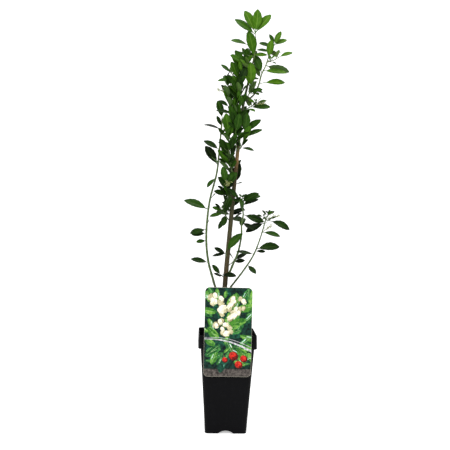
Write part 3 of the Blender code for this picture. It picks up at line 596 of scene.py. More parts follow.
def bell_print(u, v, size, lean, depth):
    """A hanging bell: its shaded edge, its body, three lobes round its mouth, and the light on it."""
    down = Vector((math.sin(lean), -math.cos(lean)))
    across = Vector((-down.y, down.x))
    turn = math.atan2(down.y, down.x)
    edge, body = ("far_bell_edges", "far_bells") if depth == "far" else ("bell_edges", "bells")
    oval(inks[edge], u + 0.4, v - 0.4, size * 1.16, size * 0.98, turn, 0.9)
    oval(inks[body], u, v, size, size * 0.82, turn, 0.9)
    for k in (-1, 0, 1):
        lobe = Vector((u, v)) + down * size * (0.5 - 0.06 * abs(k)) + across * k * size * 0.24
        oval(inks[body], *lobe, size * 0.36, size * 0.26, turn + 0.5 * k, 1.0, 8)
    mouth = Vector((u, v)) + down * size * 0.5
    oval(inks["bell_mouths"], *mouth, size * 0.09, size * 0.26, turn, 1.0, 8)
    if depth == "near":
        light = Vector((u, v)) - down * size * 0.1 + across * size * 0.16
        oval(inks["bell_light"], *light, size * 0.55, size * 0.28, turn, 0.9, 10)


panel(inks["ground"], (-CARD_WIDTH / 2, 0), (CARD_WIDTH / 2, CARD_HEIGHT))
panel(inks["band"], (-CARD_WIDTH / 2, 0), (CARD_WIDTH / 2, BAND_HEIGHT), (CARD_CELLS[0], 2))
for kind, half, sheen in (
    ("far_leaves", None, "far_sheen"), ("leaves", "leaf_halves", "sheen"),
    ("near_leaves", "near_halves", "sheen"),
):
    for _ in range(LEAVES_PER_KIND):
        u, v = chance.uniform(-54, 54), chance.uniform(BAND_HEIGHT + 6, CARD_HEIGHT)
        turn = math.atan2(v - WAVE_FOOT, u * 2) + chance.uniform(-0.8, 0.8)
        leaf_print(u, v, chance.uniform(16, 42), turn, kind, half, sheen)
for start_u, start_v, reach, lean, count in CLUSTERS:
    spine = Vector((math.sin(lean), -math.cos(lean))) * reach
    middle = Vector((start_u, start_v)) + spine / 2
    oval(inks["stalks"], *middle, reach, 1.3, math.atan2(*spine.yx), 0.8, 6)
    for k in range(count):
        share = (k + 0.5) / count
        spread = CLUSTER_SPREAD * math.sin(math.pi * (0.2 + 0.75 * share))
        u = start_u + spine.x * share + chance.uniform(-spread, spread)
        v = start_v + spine.y * share + chance.uniform(-5, 5)
        size = chance.uniform(*BELL_SIZE)
        bell_lean = lean + (u - start_u) * 0.03 + chance.uniform(-0.6, 0.6)
        bell_print(u, v, size, bell_lean, ("far", "near")[k % 2])
for u, v, size in FRUITS:
    oval(inks["stalks"], u - 2, v + size * 0.7, size * 0.9, 1.1, math.radians(100), 0.8, 6)
    oval(inks["fruit_shade"], u + 0.8, v - 0.8, size, size * 0.96, 0.0, 1.0, 20)
    oval(inks["fruit"], u - 0.5, v + 0.5, size * 0.84, size * 0.82, 0.0, 1.0, 20)
    for k in range(FRUIT_GRAINS):
        ring = size * 0.42 * math.sqrt((k + 0.5) / FRUIT_GRAINS)
        bearing = math.radians(GOLDEN_ANGLE * k)
        oval(inks["fruit_grain"], u - 0.5 + ring * math.cos(bearing), v + 0.5 + ring * math.sin(bearing),
             size * 0.05, size * 0.05, 0.0, 1.0, 6)
panel(inks["wave"], (-CARD_WIDTH / 2, -1), (CARD_WIDTH / 2, 1), (WAVE_CELLS, 2))
panel(inks["wave"], (-CARD_WIDTH / 2, 3.2), (CARD_WIDTH / 2, 3.8), (WAVE_CELLS, 1))
for vert in inks["wave"].verts:
    along = vert.co.x / CARD_WIDTH
    middle = WAVE_FOOT - WAVE_DROP * along + WAVE_SWELL * math.cos(3.4 * along)
    vert.co.y = vert.co.y * (1.6 + 1.5 * along) + middle

for layer, (name, shapes) in enumerate(inks.items()):
    trim_to_card(shapes, CARD_MARGIN)
    picture = hang(shapes, f"print_{name}", CARD_THICKNESS + LAYER * (layer + 1), -INK)
    dress(picture, ink_material(f"ink_{name}", *INKS[name]), "label")


# ---------------------------------------------------------------- trunk and boughs
# The trunk is one lean young stem with a slight flare on the compost, in thin brown bark that flakes along
# the grain and shows old leaf scars. The leader and the boughs are still green, with slight joints.

TRUNK_LINE = (
    (-11, 3, GROUND), (-11, 3, 230), (-7, 1, 320), (3, -1, 465), (12, 0, 583), (24, 1, 720),
    (35, 0, 782), (48, -2, 844), (52, -1, 874), (50, -2, 901),
)
TRUNK_RADII = (5.7, 0.6)
TRUNK_TAPER = 2.4  # 1 is an even taper, and a higher one leaves more of it to the top
ROOT_FLARE = 3.2
ROOT_FLARE_HEIGHT = 11.0
FORK = 0.745
LEADER_END = 0.915
WOOD_STEP = 1.6  # between one ring of vertices and the next on bare wood
SHOOT_SPACING = 11.0
SUNK = 2.5  # how deep a limb's foot runs into what carries it
BARK_RELIEF = 0.34
BARK_GRAIN = (1.7, 1.7, 8.0)  # width, depth and length of a flake
SCARS = 17
SCAR_SIZE = (1.6, 0.7)  # width and height
SCAR_LIFT = 0.55
JOINT_SPACING = 17.0
JOINT_SWELL = 0.16  # of the radius
JOINT_LENGTH = 1.8


class Limb:
    """A smooth line through a few points, with the radius of the limb along it."""

    def __init__(self, points, radii, flare=0.0, taper=1.0, span=(0.0, 1.0)):
        self.points = [Vector(p) for p in points]
        self.radii = radii
        self.flare = flare
        self.taper = taper
        self.span = span  # the shares of the whole limb that this stretch of it runs between
        self.places = [0.0]
        for a, b in zip(self.points, self.points[1:]):
            self.places.append(self.places[-1] + (b - a).length)
        self.length = self.places[-1]

    @classmethod
    def through(cls, points, radii, flare=0.0, taper=1.0, steps=8):
        """Fill in a Catmull-Rom curve between the points."""
        p = [Vector(q) for q in points]
        p = [p[0] * 2 - p[1]] + p + [p[-1] * 2 - p[-2]]
        line = []
        for i in range(1, len(p) - 2):
            for k in range(steps):
                t = k / steps
                line.append(
                    0.5 * (2 * p[i] + (p[i + 1] - p[i - 1]) * t
                           + (2 * p[i - 1] - 5 * p[i] + 4 * p[i + 1] - p[i + 2]) * t**2
                           + (3 * p[i] - p[i - 1] - 3 * p[i + 1] + p[i + 2]) * t**3)
                )
        return cls(line + [p[-2]], radii, flare, taper)

    def at(self, share):
        """The point at a share of the length."""
        place = min(max(share, 0.0), 1.0) * self.length
        i = min(max(bisect.bisect_right(self.places, place) - 1, 0), len(self.points) - 2)
        t = (place - self.places[i]) / (self.places[i + 1] - self.places[i])
        return self.points[i].lerp(self.points[i + 1], t)

    def ahead(self, share):
        """The way that the limb runs there."""
        return (self.at(share + 0.02) - self.at(share - 0.02)).normalized()

    def radius(self, share):
        """The radius there, with the flare at the foot."""
        foot, tip = self.radii
        low, high = self.span
        flare = self.flare * math.exp(-share * self.length / ROOT_FLARE_HEIGHT)
        return foot + (tip - foot) * (low + (high - low) * share) ** self.taper + flare

    def part(self, start, end, spacing):
        """The stretch between two shares, with a point about every spacing."""
        count = max(2, round((end - start) * self.length / spacing))
        shares = [start + (end - start) * (i / count) for i in range(count + 1)]
        low, high = self.span
        span = (low + (high - low) * start, low + (high - low) * end)
        flare = 0.0 if start else self.flare
        return Limb([self.at(s) for s in shares], self.radii, flare, self.taper, span)

    def distance(self, point):
        """How far a point is from the limb's surface."""
        nearest = math.inf
        for a, b, place in zip(self.points, self.points[1:], self.places):
            along = min(1.0, max(0.0, (point - a).dot(b - a) / (b - a).length_squared))
            radius = self.radius((place + along * (b - a).length) / self.length)
            nearest = min(nearest, (point - a.lerp(b, along)).length - radius)
        return nearest

    def comes_out_of(self, carrier):
        """The share of the length at which this limb is wholly outside the one that it grows from."""
        steps = 300
        for i in range(steps):
            if carrier.distance(self.at(i / steps)) > self.radius(i / steps) + GAP:
                return i / steps
        raise ValueError("a limb never leaves its carrier")


def tube(name, limb, bevel_resolution, swell=None):
    """The limb as a closed tapered tube of 4 sides, and 2 more for each step of the bevel resolution."""
    curve = bpy.data.curves.new(name, "CURVE")
    curve.dimensions = "3D"
    curve.bevel_depth = MM
    curve.bevel_resolution = bevel_resolution
    curve.use_fill_caps = True
    spline = curve.splines.new("POLY")
    spline.points.add(len(limb.points) - 1)
    for point, place, co in zip(spline.points, limb.places, limb.points):
        point.co = (*(co * MM), 1.0)
        point.radius = limb.radius(place / limb.length) * (swell(place) if swell else 1.0)
    obj = add_object(name, curve)
    bpy.context.view_layer.update()
    mesh = bpy.data.meshes.new_from_object(obj.evaluated_get(bpy.context.evaluated_depsgraph_get()))
    bpy.data.objects.remove(obj)
    bpy.data.curves.remove(curve)
    bm = bmesh.new()
    bm.from_mesh(mesh)
    bmesh.ops.remove_doubles(bm, verts=bm.verts, dist=0.00001)
    bmesh.ops.recalc_face_normals(bm, faces=bm.faces)
    bm.to_mesh(mesh)
    bm.free()
    return mesh


def smooth_piece(name, mesh):
    """A new object, shaded smooth."""
    mesh.shade_smooth()
    return add_object(name, mesh)


def joint_swell(place):
    """Green wood is a little thicker at each joint, where a leaf stood."""
    off = (place / JOINT_SPACING + 0.5) % 1.0 - 0.5
    return 1.0 + JOINT_SWELL * math.exp(-((off * JOINT_SPACING / JOINT_LENGTH) ** 2))


trunk = Limb.through(TRUNK_LINE, TRUNK_RADII, ROOT_FLARE, TRUNK_TAPER)
stem = trunk.part(0.0, FORK + GAP / trunk.length, WOOD_STEP)
trunk_mesh = tube("trunk_bark", stem, 12)
scars = []
for k in range(SCARS):
    share = (k + 0.6) / SCARS
    bearing = math.radians(GOLDEN_ANGLE * k)
    out = Vector((math.cos(bearing), math.sin(bearing), 0))
    scars.append(stem.at(share) + out * stem.radius(share))
for vert, normal in zip(trunk_mesh.vertices, [n.vector.copy() for n in trunk_mesh.vertex_normals]):
    point = vert.co / MM
    if abs(normal.z) > 0.8:  # the ends stay plain
        continue
    grain = Vector((point.x / BARK_GRAIN[0], point.y / BARK_GRAIN[1], point.z / BARK_GRAIN[2]))
    flakes = noise.noise(grain) - 0.7 * abs(noise.noise(grain * 2.3 + Vector((7, 7, 7))))
    lift = BARK_RELIEF * flakes
    for scar in scars:
        off = point - scar
        lift += SCAR_LIFT * math.exp(-(off.x**2 + off.y**2) / SCAR_SIZE[0]**2 - (off.z / SCAR_SIZE[1])**2)
    vert.co = (point + normal * lift) * MM
lowest = min(v.co.z for v in trunk_mesh.vertices)
for vert in trunk_mesh.vertices:  # its foot stands level on the compost
    if vert.co.z < lowest + 1.5 * MM:
        vert.co.z = GROUND * MM
trunk_bark = smooth_piece("trunk_bark", trunk_mesh)

# Young bark: thin and matt, dark where it is old and shaded, with an orange stretch where it has just peeled.
BARK_FIBRE = 1.6
BARK_BY_HEIGHT = (  # height, colour
    (200, "#2b261a"), (310, "#37331f"), (350, "#4a3c22"), (400, "#463f25"), (500, "#45432a"),
    (580, "#4b3d24"), (612, "#80633a"), (640, "#5c5332"), (680, "#525433"),
)


def share_of_height(material, low, high):
    """How far a point is up from one height to another, from 0 to 1."""
    place = add_node(material, "ShaderNodeTexCoord", output="Object")
    height = add_node(material, "ShaderNodeSeparateXYZ", {"Vector": place}, "Z")
    inputs = {"Value": height, "From Min": low * MM, "From Max": high * MM}
    return add_node(material, "ShaderNodeMapRange", inputs)


def lined(material, colour, width, stretch, detail, roughness, between, shades):
    """A colour in darker and lighter lines along an upright grain, and the lines that it follows."""
    place = add_node(material, "ShaderNodeTexCoord", output="Object")
    upright = add_node(material, "ShaderNodeMapping", {"Vector": place, "Scale": (1.0, 1.0, stretch)})
    lines = add_node(material, "ShaderNodeTexNoise", {
        "Vector": upright, "Scale": 1 / (width * MM), "Detail": detail, "Roughness": roughness,
    })
    share = add_node(material, "ShaderNodeMapRange", {
        "Value": lines, "From Min": between[0], "From Max": between[1],
        "To Min": shades[0], "To Max": shades[1],
    })
    return add_node(material, "ShaderNodeVectorMath", {0: colour, "Scale": share}, operation="SCALE"), lines


bark = new_material("young_bark", roughness=0.82, specular_ior_level=0.35)
low, high = BARK_BY_HEIGHT[0][0], BARK_BY_HEIGHT[-1][0]
by_height = add_node(bark, "ShaderNodeValToRGB", {"Fac": share_of_height(bark, low, high)})
ramp = by_height.node.color_ramp
while len(ramp.elements) < len(BARK_BY_HEIGHT):
    ramp.elements.new(0.5)
for element, (level, colour) in zip(ramp.elements, BARK_BY_HEIGHT):
    element.position = (level - low) / (high - low)
    element.color = linear(colour)
shade, fibres = lined(bark, by_height, BARK_FIBRE, 0.2, 7.0, 0.65, (0.36, 0.66), (0.42, 1.35))
relief = add_node(bark, "ShaderNodeBump", {"Height": fibres, "Strength": 0.8, "Distance": 0.35 * MM})
surface(bark, base_color=shade, normal=relief)
dress(trunk_bark, bark, "trunk", "trunk")


GREEN_LINE = 1.0  # between one fine line and the next


def green_bark_material(name, foot, foot_colour, top, top_colour):
    """Smooth green bark, from one colour low down to another, with fine lines and a waxy skin."""
    material = new_material(name, roughness=0.48, specular_ior_level=0.45)
    share = share_of_height(material, foot, top)
    inputs = {0: share, 6: foot_colour, 7: top_colour}
    by_height = add_node(material, "ShaderNodeMix", inputs, 2, data_type="RGBA")
    shade, _ = lined(material, by_height, GREEN_LINE, 0.15, 4.0, 0.5, (0.3, 0.7), (0.72, 1.2))
    surface(material, base_color=shade)
    return material


green_bark = green_bark_material("green_bark", 650, "#3f4024", 800, "#424e25")
shoot_bark = green_bark_material("shoot_bark", 285, "#3a3423", 352, "#3d5323")
gap = GAP / trunk.length
leader = trunk.part(FORK + gap, LEADER_END + gap, WOOD_STEP)
leader_stem = smooth_piece("leader_stem", tube("leader_stem", leader, 8, joint_swell))
dress(leader_stem, green_bark, "green_bark", "leader_bough")

# Each side shoot: its line, whose first point is inside the limb that it grows from; its radii; the bare
# share; its sprays (share along the stem, bearing, rise, twig length, leaves, leaf length); the number of
# its fillers; and its panicles (share along the stem, bearing, rise, length).
SHOOTS = {
    "left": (
        ((-22, -5, GROUND), (-24, -1, 295), (-33, 0, 333), (-45, 1, 374), (-51, 0, 417), (-51, -2, 464),
         (-45, 0, 520), (-31, 3, 579), (-26, 4, 635), (-21, 4, 705)), (3.0, 1.7), 0.3,
        ((0.075, 180, 13, 3, 1, 38), (0.215, 205, -6, 3, 1, 22), (0.287, 200, -12, 4, 1, 36),
         (0.262, 214, -4, 4, 1, 31), (0.412, 182, 23, 5, 1, 54), (0.47, 285, 25, 3, 1, 34),
         (0.7, 180, 58, 4, 1, 49), (0.8, 174, 31, 4, 1, 38), (0.93, 184, 16, 5, 1, 36),
         (0.95, 215, 60, 3, 1, 23), (1.0, 176, 76, 3, 1, 40), (0.62, 205, -45, 3, 1, 28)), 2, (),
    ),
    "right_low": (
        ((-8, 1, 295), (5, -5, 319), (33, -11, 358), (56, -12, 395), (71, -11, 435), (84, -10, 483)),
        (2.4, 1.2), 0.42,
        ((0.04, 312, -33, 4, 1, 28), (0.27, 180, 10, 5, 1, 37), (0.33, 356, 0, 3, 1, 20),
         (0.37, 2, 9, 6, 1, 48), (0.7, 356, -9, 4, 1, 38), (0.88, 186, -24, 6, 1, 42),
         (0.95, 2, -20, 10, 1, 50), (1.0, 60, 40, 4, 3, 20)), 0, ((0.7, 10, 35, 24), (0.95, 352, 14, 28)),
    ),
    "middle": (
        ((-1, 0, 343), (10, -6, 372), (21, -10, 401), (28, -12, 440), (27, -12, 463), (31, -10, 490),
         (23, -9, 520)), (2.6, 1.4), 0.5,
        ((0.42, 350, -24, 4, 1, 30), (0.62, 2, -16, 4, 1, 46), (0.84, 8, 26, 4, 1, 38),
         (1.0, 4, 14, 5, 1, 43), (0.94, 330, 25, 4, 1, 44), (1.0, 176, 40, 5, 1, 34)), 2, (),
    ),
    "trunk_low": (
        ((-2, 0, 387), (-5, -9, 393), (-7, -15, 401)), (1.2, 0.9), 0.0,
        ((0.5, 180, 30, 4, 1, 27), (0.7, 188, -9, 4, 1, 28), (1.0, 350, 52, 4, 1, 52)), 0, (),
    ),
    "trunk_foot": (
        ((-6, 1, 340), (-13, -7, 345), (-17, -12, 349)), (1.2, 0.9), 0.0,
        ((0.5, 228, 15, 4, 1, 24), (0.8, 275, 10, 3, 1, 22), (1.0, 178, 50, 3, 1, 27),
         (0.9, 332, 2, 6, 1, 31)), 0, (),
    ),
    "trunk_foot_back": (
        ((-4, 0, 367), (6, 9, 373), (14, 15, 381)), (1.2, 0.9), 0.0,
        ((0.6, 60, 8, 4, 1, 36), (0.8, 340, 8, 4, 1, 24), (1.0, 20, 30, 4, 1, 32),
         (1.0, 120, 36, 4, 1, 36)), 0, (),
    ),
    "trunk_left": (
        ((2, -1, 469), (-6, -8, 479), (-15, -14, 493)), (1.4, 0.9), 0.0,
        ((0.4, 200, -55, 4, 1, 30), (0.6, 262, -40, 4, 1, 32), (0.8, 182, -12, 5, 1, 29),
         (1.0, 178, 22, 5, 1, 21), (1.0, 290, 50, 5, 2, 38)), 2, (),
    ),
    "trunk_back_low": (
        ((3, 0, 457), (6, 12, 473), (3, 22, 497)), (1.4, 0.9), 0.0,
        ((0.5, 60, -6, 5, 1, 44), (0.7, 130, 8, 5, 1, 44), (1.0, 90, 50, 8, 3, 42), (0.6, 8, 34, 4, 1, 32),
         (0.9, 352, 8, 4, 1, 32)), 3, (),
    ),
    "column_low": (
        ((6, -1, 505), (-2, -9, 521), (-9, -14, 550)), (1.4, 0.9), 0.0,
        ((0.45, 190, 18, 4, 1, 30), (0.7, 212, 52, 4, 1, 36), (1.0, 242, 66, 6, 2, 40),
         (1.0, 10, 55, 6, 1, 34)), 3, ((0.6, 300, 50, 24),),
    ),
    "column_back": (
        ((8, 1, 533), (12, 12, 550), (9, 18, 580)), (1.4, 0.9), 0.0,
        ((0.4, 60, 14, 4, 1, 28), (0.7, 120, 20, 4, 1, 44), (1.0, 120, 62, 8, 3, 42)), 3, (),
    ),
    "column_left": (
        ((12, -1, 571), (1, -9, 591), (-6, -12, 630), (-5, -12, 661)), (1.4, 0.9), 0.0,
        ((0.25, 210, 46, 4, 1, 42), (0.45, 190, 64, 4, 1, 44), (0.6, 330, 66, 4, 1, 42),
         (1.0, 215, 80, 4, 1, 50), (1.0, 20, 70, 5, 1, 44)), 4, (),
    ),
    "column_front": (
        ((16, 0, 626), (11, -12, 645), (8, -16, 685)), (1.3, 0.9), 0.0,
        ((0.35, 222, 58, 4, 1, 42), (0.7, 300, 72, 4, 1, 42), (1.0, 180, 76, 4, 1, 46),
         (1.0, 330, 58, 4, 1, 42)), 3, (),
    ),
    "column_top": (
        ((24, 0, 718), (17, -10, 734), (13, -12, 775), (18, -9, 812)), (1.4, 0.9), 0.0,
        ((0.2, 200, 62, 4, 1, 42), (0.35, 276, 70, 4, 1, 41), (0.5, 182, 58, 4, 1, 40),
         (0.62, 330, 66, 4, 1, 42), (0.78, 190, 66, 4, 1, 40), (1.0, 200, 62, 4, 1, 38),
         (0.95, 100, 70, 4, 1, 38)), 4, (),
    ),
    "column_right": (
        ((16, -1, 628), (26, -7, 646), (30, -8, 670)), (1.4, 0.9), 0.0,
        ((0.1, 350, -8, 5, 1, 26), (0.45, 318, 62, 4, 1, 38), (0.75, 4, 29, 5, 1, 42),
         (1.0, 2, 45, 4, 1, 46), (1.0, 250, 70, 5, 1, 44)), 1, (),
    ),
    "column_back_high": (
        ((18, 1, 652), (13, 13, 670), (15, 20, 705)), (1.4, 0.9), 0.0,
        ((0.4, 140, 12, 4, 1, 36), (0.7, 50, 26, 4, 1, 40), (1.0, 100, 60, 8, 3, 44)), 3, (),
    ),
    "upper_left": (
        ((22, 1, 696), (6, -3, 711), (-6, -3, 735), (-5, -2, 775), (1, 0, 805)), (1.6, 0.8), 0.0,
        ((0.18, 186, 12, 6, 1, 33), (0.36, 225, 70, 5, 1, 36), (0.5, 300, 36, 4, 1, 40),
         (0.62, 10, 50, 4, 1, 40), (0.91, 188, -8, 5, 1, 28), (1.0, 176, 42, 6, 3, 30)),
        5, ((0.6, 182, 18, 27),),
    ),
    "upper_spur": (
        ((30, 1, 750), (38, -6, 758), (41, -8, 774)), (1.3, 0.9), 0.0,
        ((0.6, 330, 10, 4, 1, 28), (1.0, 262, 80, 4, 1, 54), (0.9, 200, 40, 4, 1, 34),
         (0.95, 12, -14, 4, 1, 26)), 2, (),
    ),
    "right_spray": (
        ((25, 0, 722), (36, -6, 728), (50, -9, 736)), (1.2, 0.8), 0.0,
        ((0.3, 255, -15, 4, 1, 28), (0.6, 2, 5, 5, 1, 42), (1.0, 20, 24, 5, 2, 28)),
        1, ((0.9, 352, 10, 24),),
    ),
    "upper_right": (
        ((32, 1, 744), (51, -1, 762), (61, -2, 785), (66, -2, 807), (75, -1, 826), (81, 0, 846),
         (87, 1, 861), (94, 1, 875)), (2.1, 0.9), 0.22,
        ((0.18, 2, 7, 10, 1, 50), (0.26, 205, 8, 3, 1, 22), (0.38, 172, 68, 4, 1, 44),
         (0.44, 356, -2, 6, 1, 48), (0.56, 4, -7, 5, 1, 54), (0.64, 2, 23, 30, 4, 34),
         (0.78, 182, 2, 4, 1, 30), (0.85, 178, 10, 4, 1, 28), (0.95, 171, 22, 4, 1, 30),
         (1.0, 184, 68, 4, 1, 24), (1.0, 350, 66, 4, 1, 32), (1.0, 8, 29, 4, 1, 30)), 2, (),
    ),
    "upper_back": (
        ((38, 0, 796), (38, 10, 810), (36, 16, 836)), (1.2, 0.8), 0.0,
        ((0.5, 150, 20, 4, 1, 40), (0.7, 60, 16, 4, 1, 40), (1.0, 90, 58, 6, 3, 40)), 2, (),
    ),
    "upper_front": (
        ((41, -1, 812), (32, -7, 818), (26, -9, 828)), (1.2, 0.8), 0.0,
        ((0.5, 268, 10, 4, 1, 34), (1.0, 182, 24, 6, 1, 34), (1.0, 200, 52, 5, 1, 32)), 1, (),
    ),
}
BARE_SHOOTS = ("left", "right_low", "middle", "upper_right")  # those that start as a bare bough
for name in BARE_SHOOTS:
    shoot_line, shoot_radii, bare = SHOOTS[name][:3]
    line = Limb.through(shoot_line, shoot_radii)
    foot = 0.0 if shoot_line[0][2] == GROUND else line.comes_out_of(trunk) - SUNK / line.length
    mesh = tube(f"{name}_stem", line.part(foot, bare + GAP / line.length, WOOD_STEP), 6, joint_swell)
    if foot == 0.0:
        for vert in mesh.vertices:
            vert.co.z = max(vert.co.z, GROUND * MM)
    piece = smooth_piece(f"{name}_stem", mesh)
    dress(piece, green_bark if name == "upper_right" else shoot_bark, "green_bark", f"{name}_bough")


# ---------------------------------------------------------------- foliage
# Each leafy shoot goes on from its bough's tip or from the trunk. Thin green twigs bear thick, glossy,
# finely toothed leaves on short stalks, turned to the light. Their tones are painted light and shade: lighter
# high up and on sunlit shoots, darker low down and towards the back.

LEADER_SPRAYS = (  # as the sprays of a side shoot
    (0.05, 212, 76, 4, 1, 58), (0.10, 184, 10, 16, 1, 30), (0.44, 172, 20, 18, 1, 42),
    (0.36, 240, 78, 4, 1, 42), (0.66, 168, 44, 5, 1, 26), (0.95, 182, 37, 4, 1, 54),
    (1.0, 178, 66, 4, 1, 53), (1.0, 310, 83, 4, 1, 50), (1.0, 2, 55, 4, 1, 53),
)
SEED = 1807
LEAF_THICKNESS = 0.9
LEAF_WIDTH_SHARE = 0.38
LEAF_FOLD = 0.25
LEAF_DROOP = 0.07
LEAF_TURN = (0.6, 1.5)  # how far a leaf faces out of the crown, where 1 is as far as it faces up
LEAF_STATIONS = (  # shares of the length, of half the width and of the thickness, from the stalk to the tip
    (-0.012, 0.0, 0.0), (0.00, 0.08, 1.0), (0.15, 0.11, 1.0), (0.46, 0.96, 1.0), (0.80, 0.78, 0.9),
    (1.00, 0.0, 0.0),
)
BLADE_STATIONS = ((0.17, 0.0, 0.0),) + LEAF_STATIONS[3:]
ELBOW_ROOM = 0.6  # between a leaf and what it may not touch
TURNS = (0, 14, -14, 28, -28, 45, -45)  # tried one after the other, until a leaf finds room
STEEPEST = 70
SIDE_LEAF = 0.85  # of the length of the leaf that goes straight on
SIDE_LEAF_STEP = 0.25  # of the twig's length
FILLER_LENGTH = 40.0
FILLER_SIZES = (0.85, 1.1)
FILLER_SPREAD = 50
FILLER_RISE = (20, 72)
TWIG_RADIUS = 0.85
TWIG_TAPER = 0.85
TWIG_SAG = 0.10
LAST_LEAF = 0.985  # where a twig bears the leaf that goes straight on, and the first one beside it
FIRST_SIDE_LEAF = 0.95
SHORT_TWIG = 6.0
STALK_RADIUS = 0.55


def tree_of(mesh):
    """The search tree of a mesh, which tells whether another one touches it."""
    bm = bmesh.new()
    bm.from_mesh(mesh)
    tree = BVHTree.FromBMesh(bm)
    bm.free()
    return tree


def touches(tree, others):
    """Whether a search tree meets any of the others."""
    return any(tree.overlap(other) for other in others)


def heading(bearing, rise):
    """The direction of a bearing and a rise."""
    b, r = math.radians(bearing), math.radians(rise)
    return Vector((math.cos(b) * math.cos(r), math.sin(b) * math.cos(r), math.sin(r)))


def leaf_face(ahead, turn):
    """The way that a leaf's upper face looks: up, and out to the front, or to the back on the back half."""
    light = Vector((0, turn if ahead.y > 0.3 else -turn, 1))
    return (light - ahead * ahead.dot(light)).normalized()


def leaf_room(stations, root, ahead, face, length, margin):
    """The search tree of the room that a leaf takes: a four-sided body round it."""
    last = len(stations) - 1
    across = ahead.cross(face)
    half_width = LEAF_WIDTH_SHARE * length / 2
    bm = bmesh.new()
    bmesh.ops.create_uvsphere(bm, u_segments=4, v_segments=last, radius=1.0)
    for vert in bm.verts:
        turn = math.acos(min(1.0, max(-1.0, -vert.co.z))) / math.pi
        along, width, thickness = stations[round(turn * last)]
        ring = math.hypot(vert.co.x, vert.co.y) or 1.0
        side = round(vert.co.x / ring)
        up = round(vert.co.y / ring)
        x = side * (width * half_width + margin)
        y = along * length
        z = abs(side) * LEAF_FOLD * width * half_width - LEAF_DROOP * length * max(0.0, along) ** 2
        z += up * (thickness * LEAF_THICKNESS / 2 + margin)
        vert.co = (root + across * x + ahead * y + face * z) * MM
    tree = BVHTree.FromBMesh(bm)
    bm.free()
    return tree


class Mass:
    """One leafy shoot while it grows: its wood, and the leaves that found room."""

    def __init__(self, name, stem, others, chance):
        self.name = name
        self.stem = stem
        self.others = others
        self.chance = chance
        self.twigs = [stem]
        self.wood_trees = [tree_of(tube(name, stem, 1))]
        self.leaves = []
        self.leaf_trees = []
        self.reach = None  # or the lowest and the highest corner that a leaf's tip keeps within

    def add_leaf(self, root, bearing, rise, length):
        """Try the bearing and its neighbours until the leaf touches nothing but its own twig."""
        light = self.chance.uniform(*LEAF_TURN)
        for turn in TURNS:
            ahead = heading(bearing + turn, rise)
            face = leaf_face(ahead, light)
            whole = leaf_room(LEAF_STATIONS, root, ahead, face, length, ELBOW_ROOM)
            blade = leaf_room(BLADE_STATIONS, root, ahead, face, length, ELBOW_ROOM / 3)
            if touches(whole, self.others) or touches(blade, self.wood_trees + self.leaf_trees):
                continue
            tip = root + ahead * length
            if self.reach and any(not a <= c <= b for a, b, c in zip(*self.reach, tip)):
                continue
            self.leaves.append((root, ahead, face, length))
            self.leaf_trees.append(blade)
            return

    def add_wood(self, limb):
        """Root a twig or stalk in the wood, unless it would touch a limb, a leaf or another mass."""
        tree = tree_of(tube(self.name, limb, 0))
        if touches(tree, self.others + self.leaf_trees):
            return False
        self.wood_trees.append(tree)
        return True

    def add_spray(self, share, bearing, rise, twig_length, leaves, leaf_length, radius=TWIG_RADIUS):
        """A twig whose last leaf goes straight on, with the others round it by the golden angle."""
        root = self.stem.at(share)
        if leaves == 1 and twig_length <= SHORT_TWIG:
            self.add_leaf(root, bearing, rise, leaf_length + twig_length)
            return
        tip = root + heading(bearing, rise) * twig_length
        middle = root.lerp(tip, 0.5) - Vector((0, 0, TWIG_SAG * twig_length))
        twig = Limb.through((root, middle, tip), (radius, radius * TWIG_TAPER), steps=2)
        if not self.add_wood(twig):
            return
        self.twigs.append(twig)
        self.add_leaf(twig.at(LAST_LEAF), bearing, rise, leaf_length)
        for k in range(leaves - 1):
            turn = GOLDEN_ANGLE * (k + 1)
            place = twig.at(FIRST_SIDE_LEAF - SIDE_LEAF_STEP * k)
            side_rise = min(STEEPEST, rise * 0.5 + 25)
            self.add_leaf(place, bearing + turn, side_rise, leaf_length * SIDE_LEAF)

    def add_fillers(self, count):
        """Upright leaves by turns to the front and the back of the stem."""
        for k in range(count):
            bearing = (270 if k % 2 else 90) + self.chance.uniform(-FILLER_SPREAD, FILLER_SPREAD)
            share = (k + 0.7) / (count + 0.4)
            length = FILLER_LENGTH * self.chance.uniform(*FILLER_SIZES)
            self.add_leaf(self.stem.at(share), bearing, self.chance.uniform(*FILLER_RISE), length)

    def add_panicle(self, share, bearing, rise, length):
        """The thin axis of a spray of flower buds, unless it has no room."""
        root = self.stem.at(share)
        tip = root + heading(bearing, rise) * length
        axis = Limb([root, root.lerp(tip, 0.5), tip], (STALK_RADIUS * 1.2, STALK_RADIUS))
        room = self.add_wood(axis)
        if room:
            panicles.append((self, axis, bearing, length))
        return room


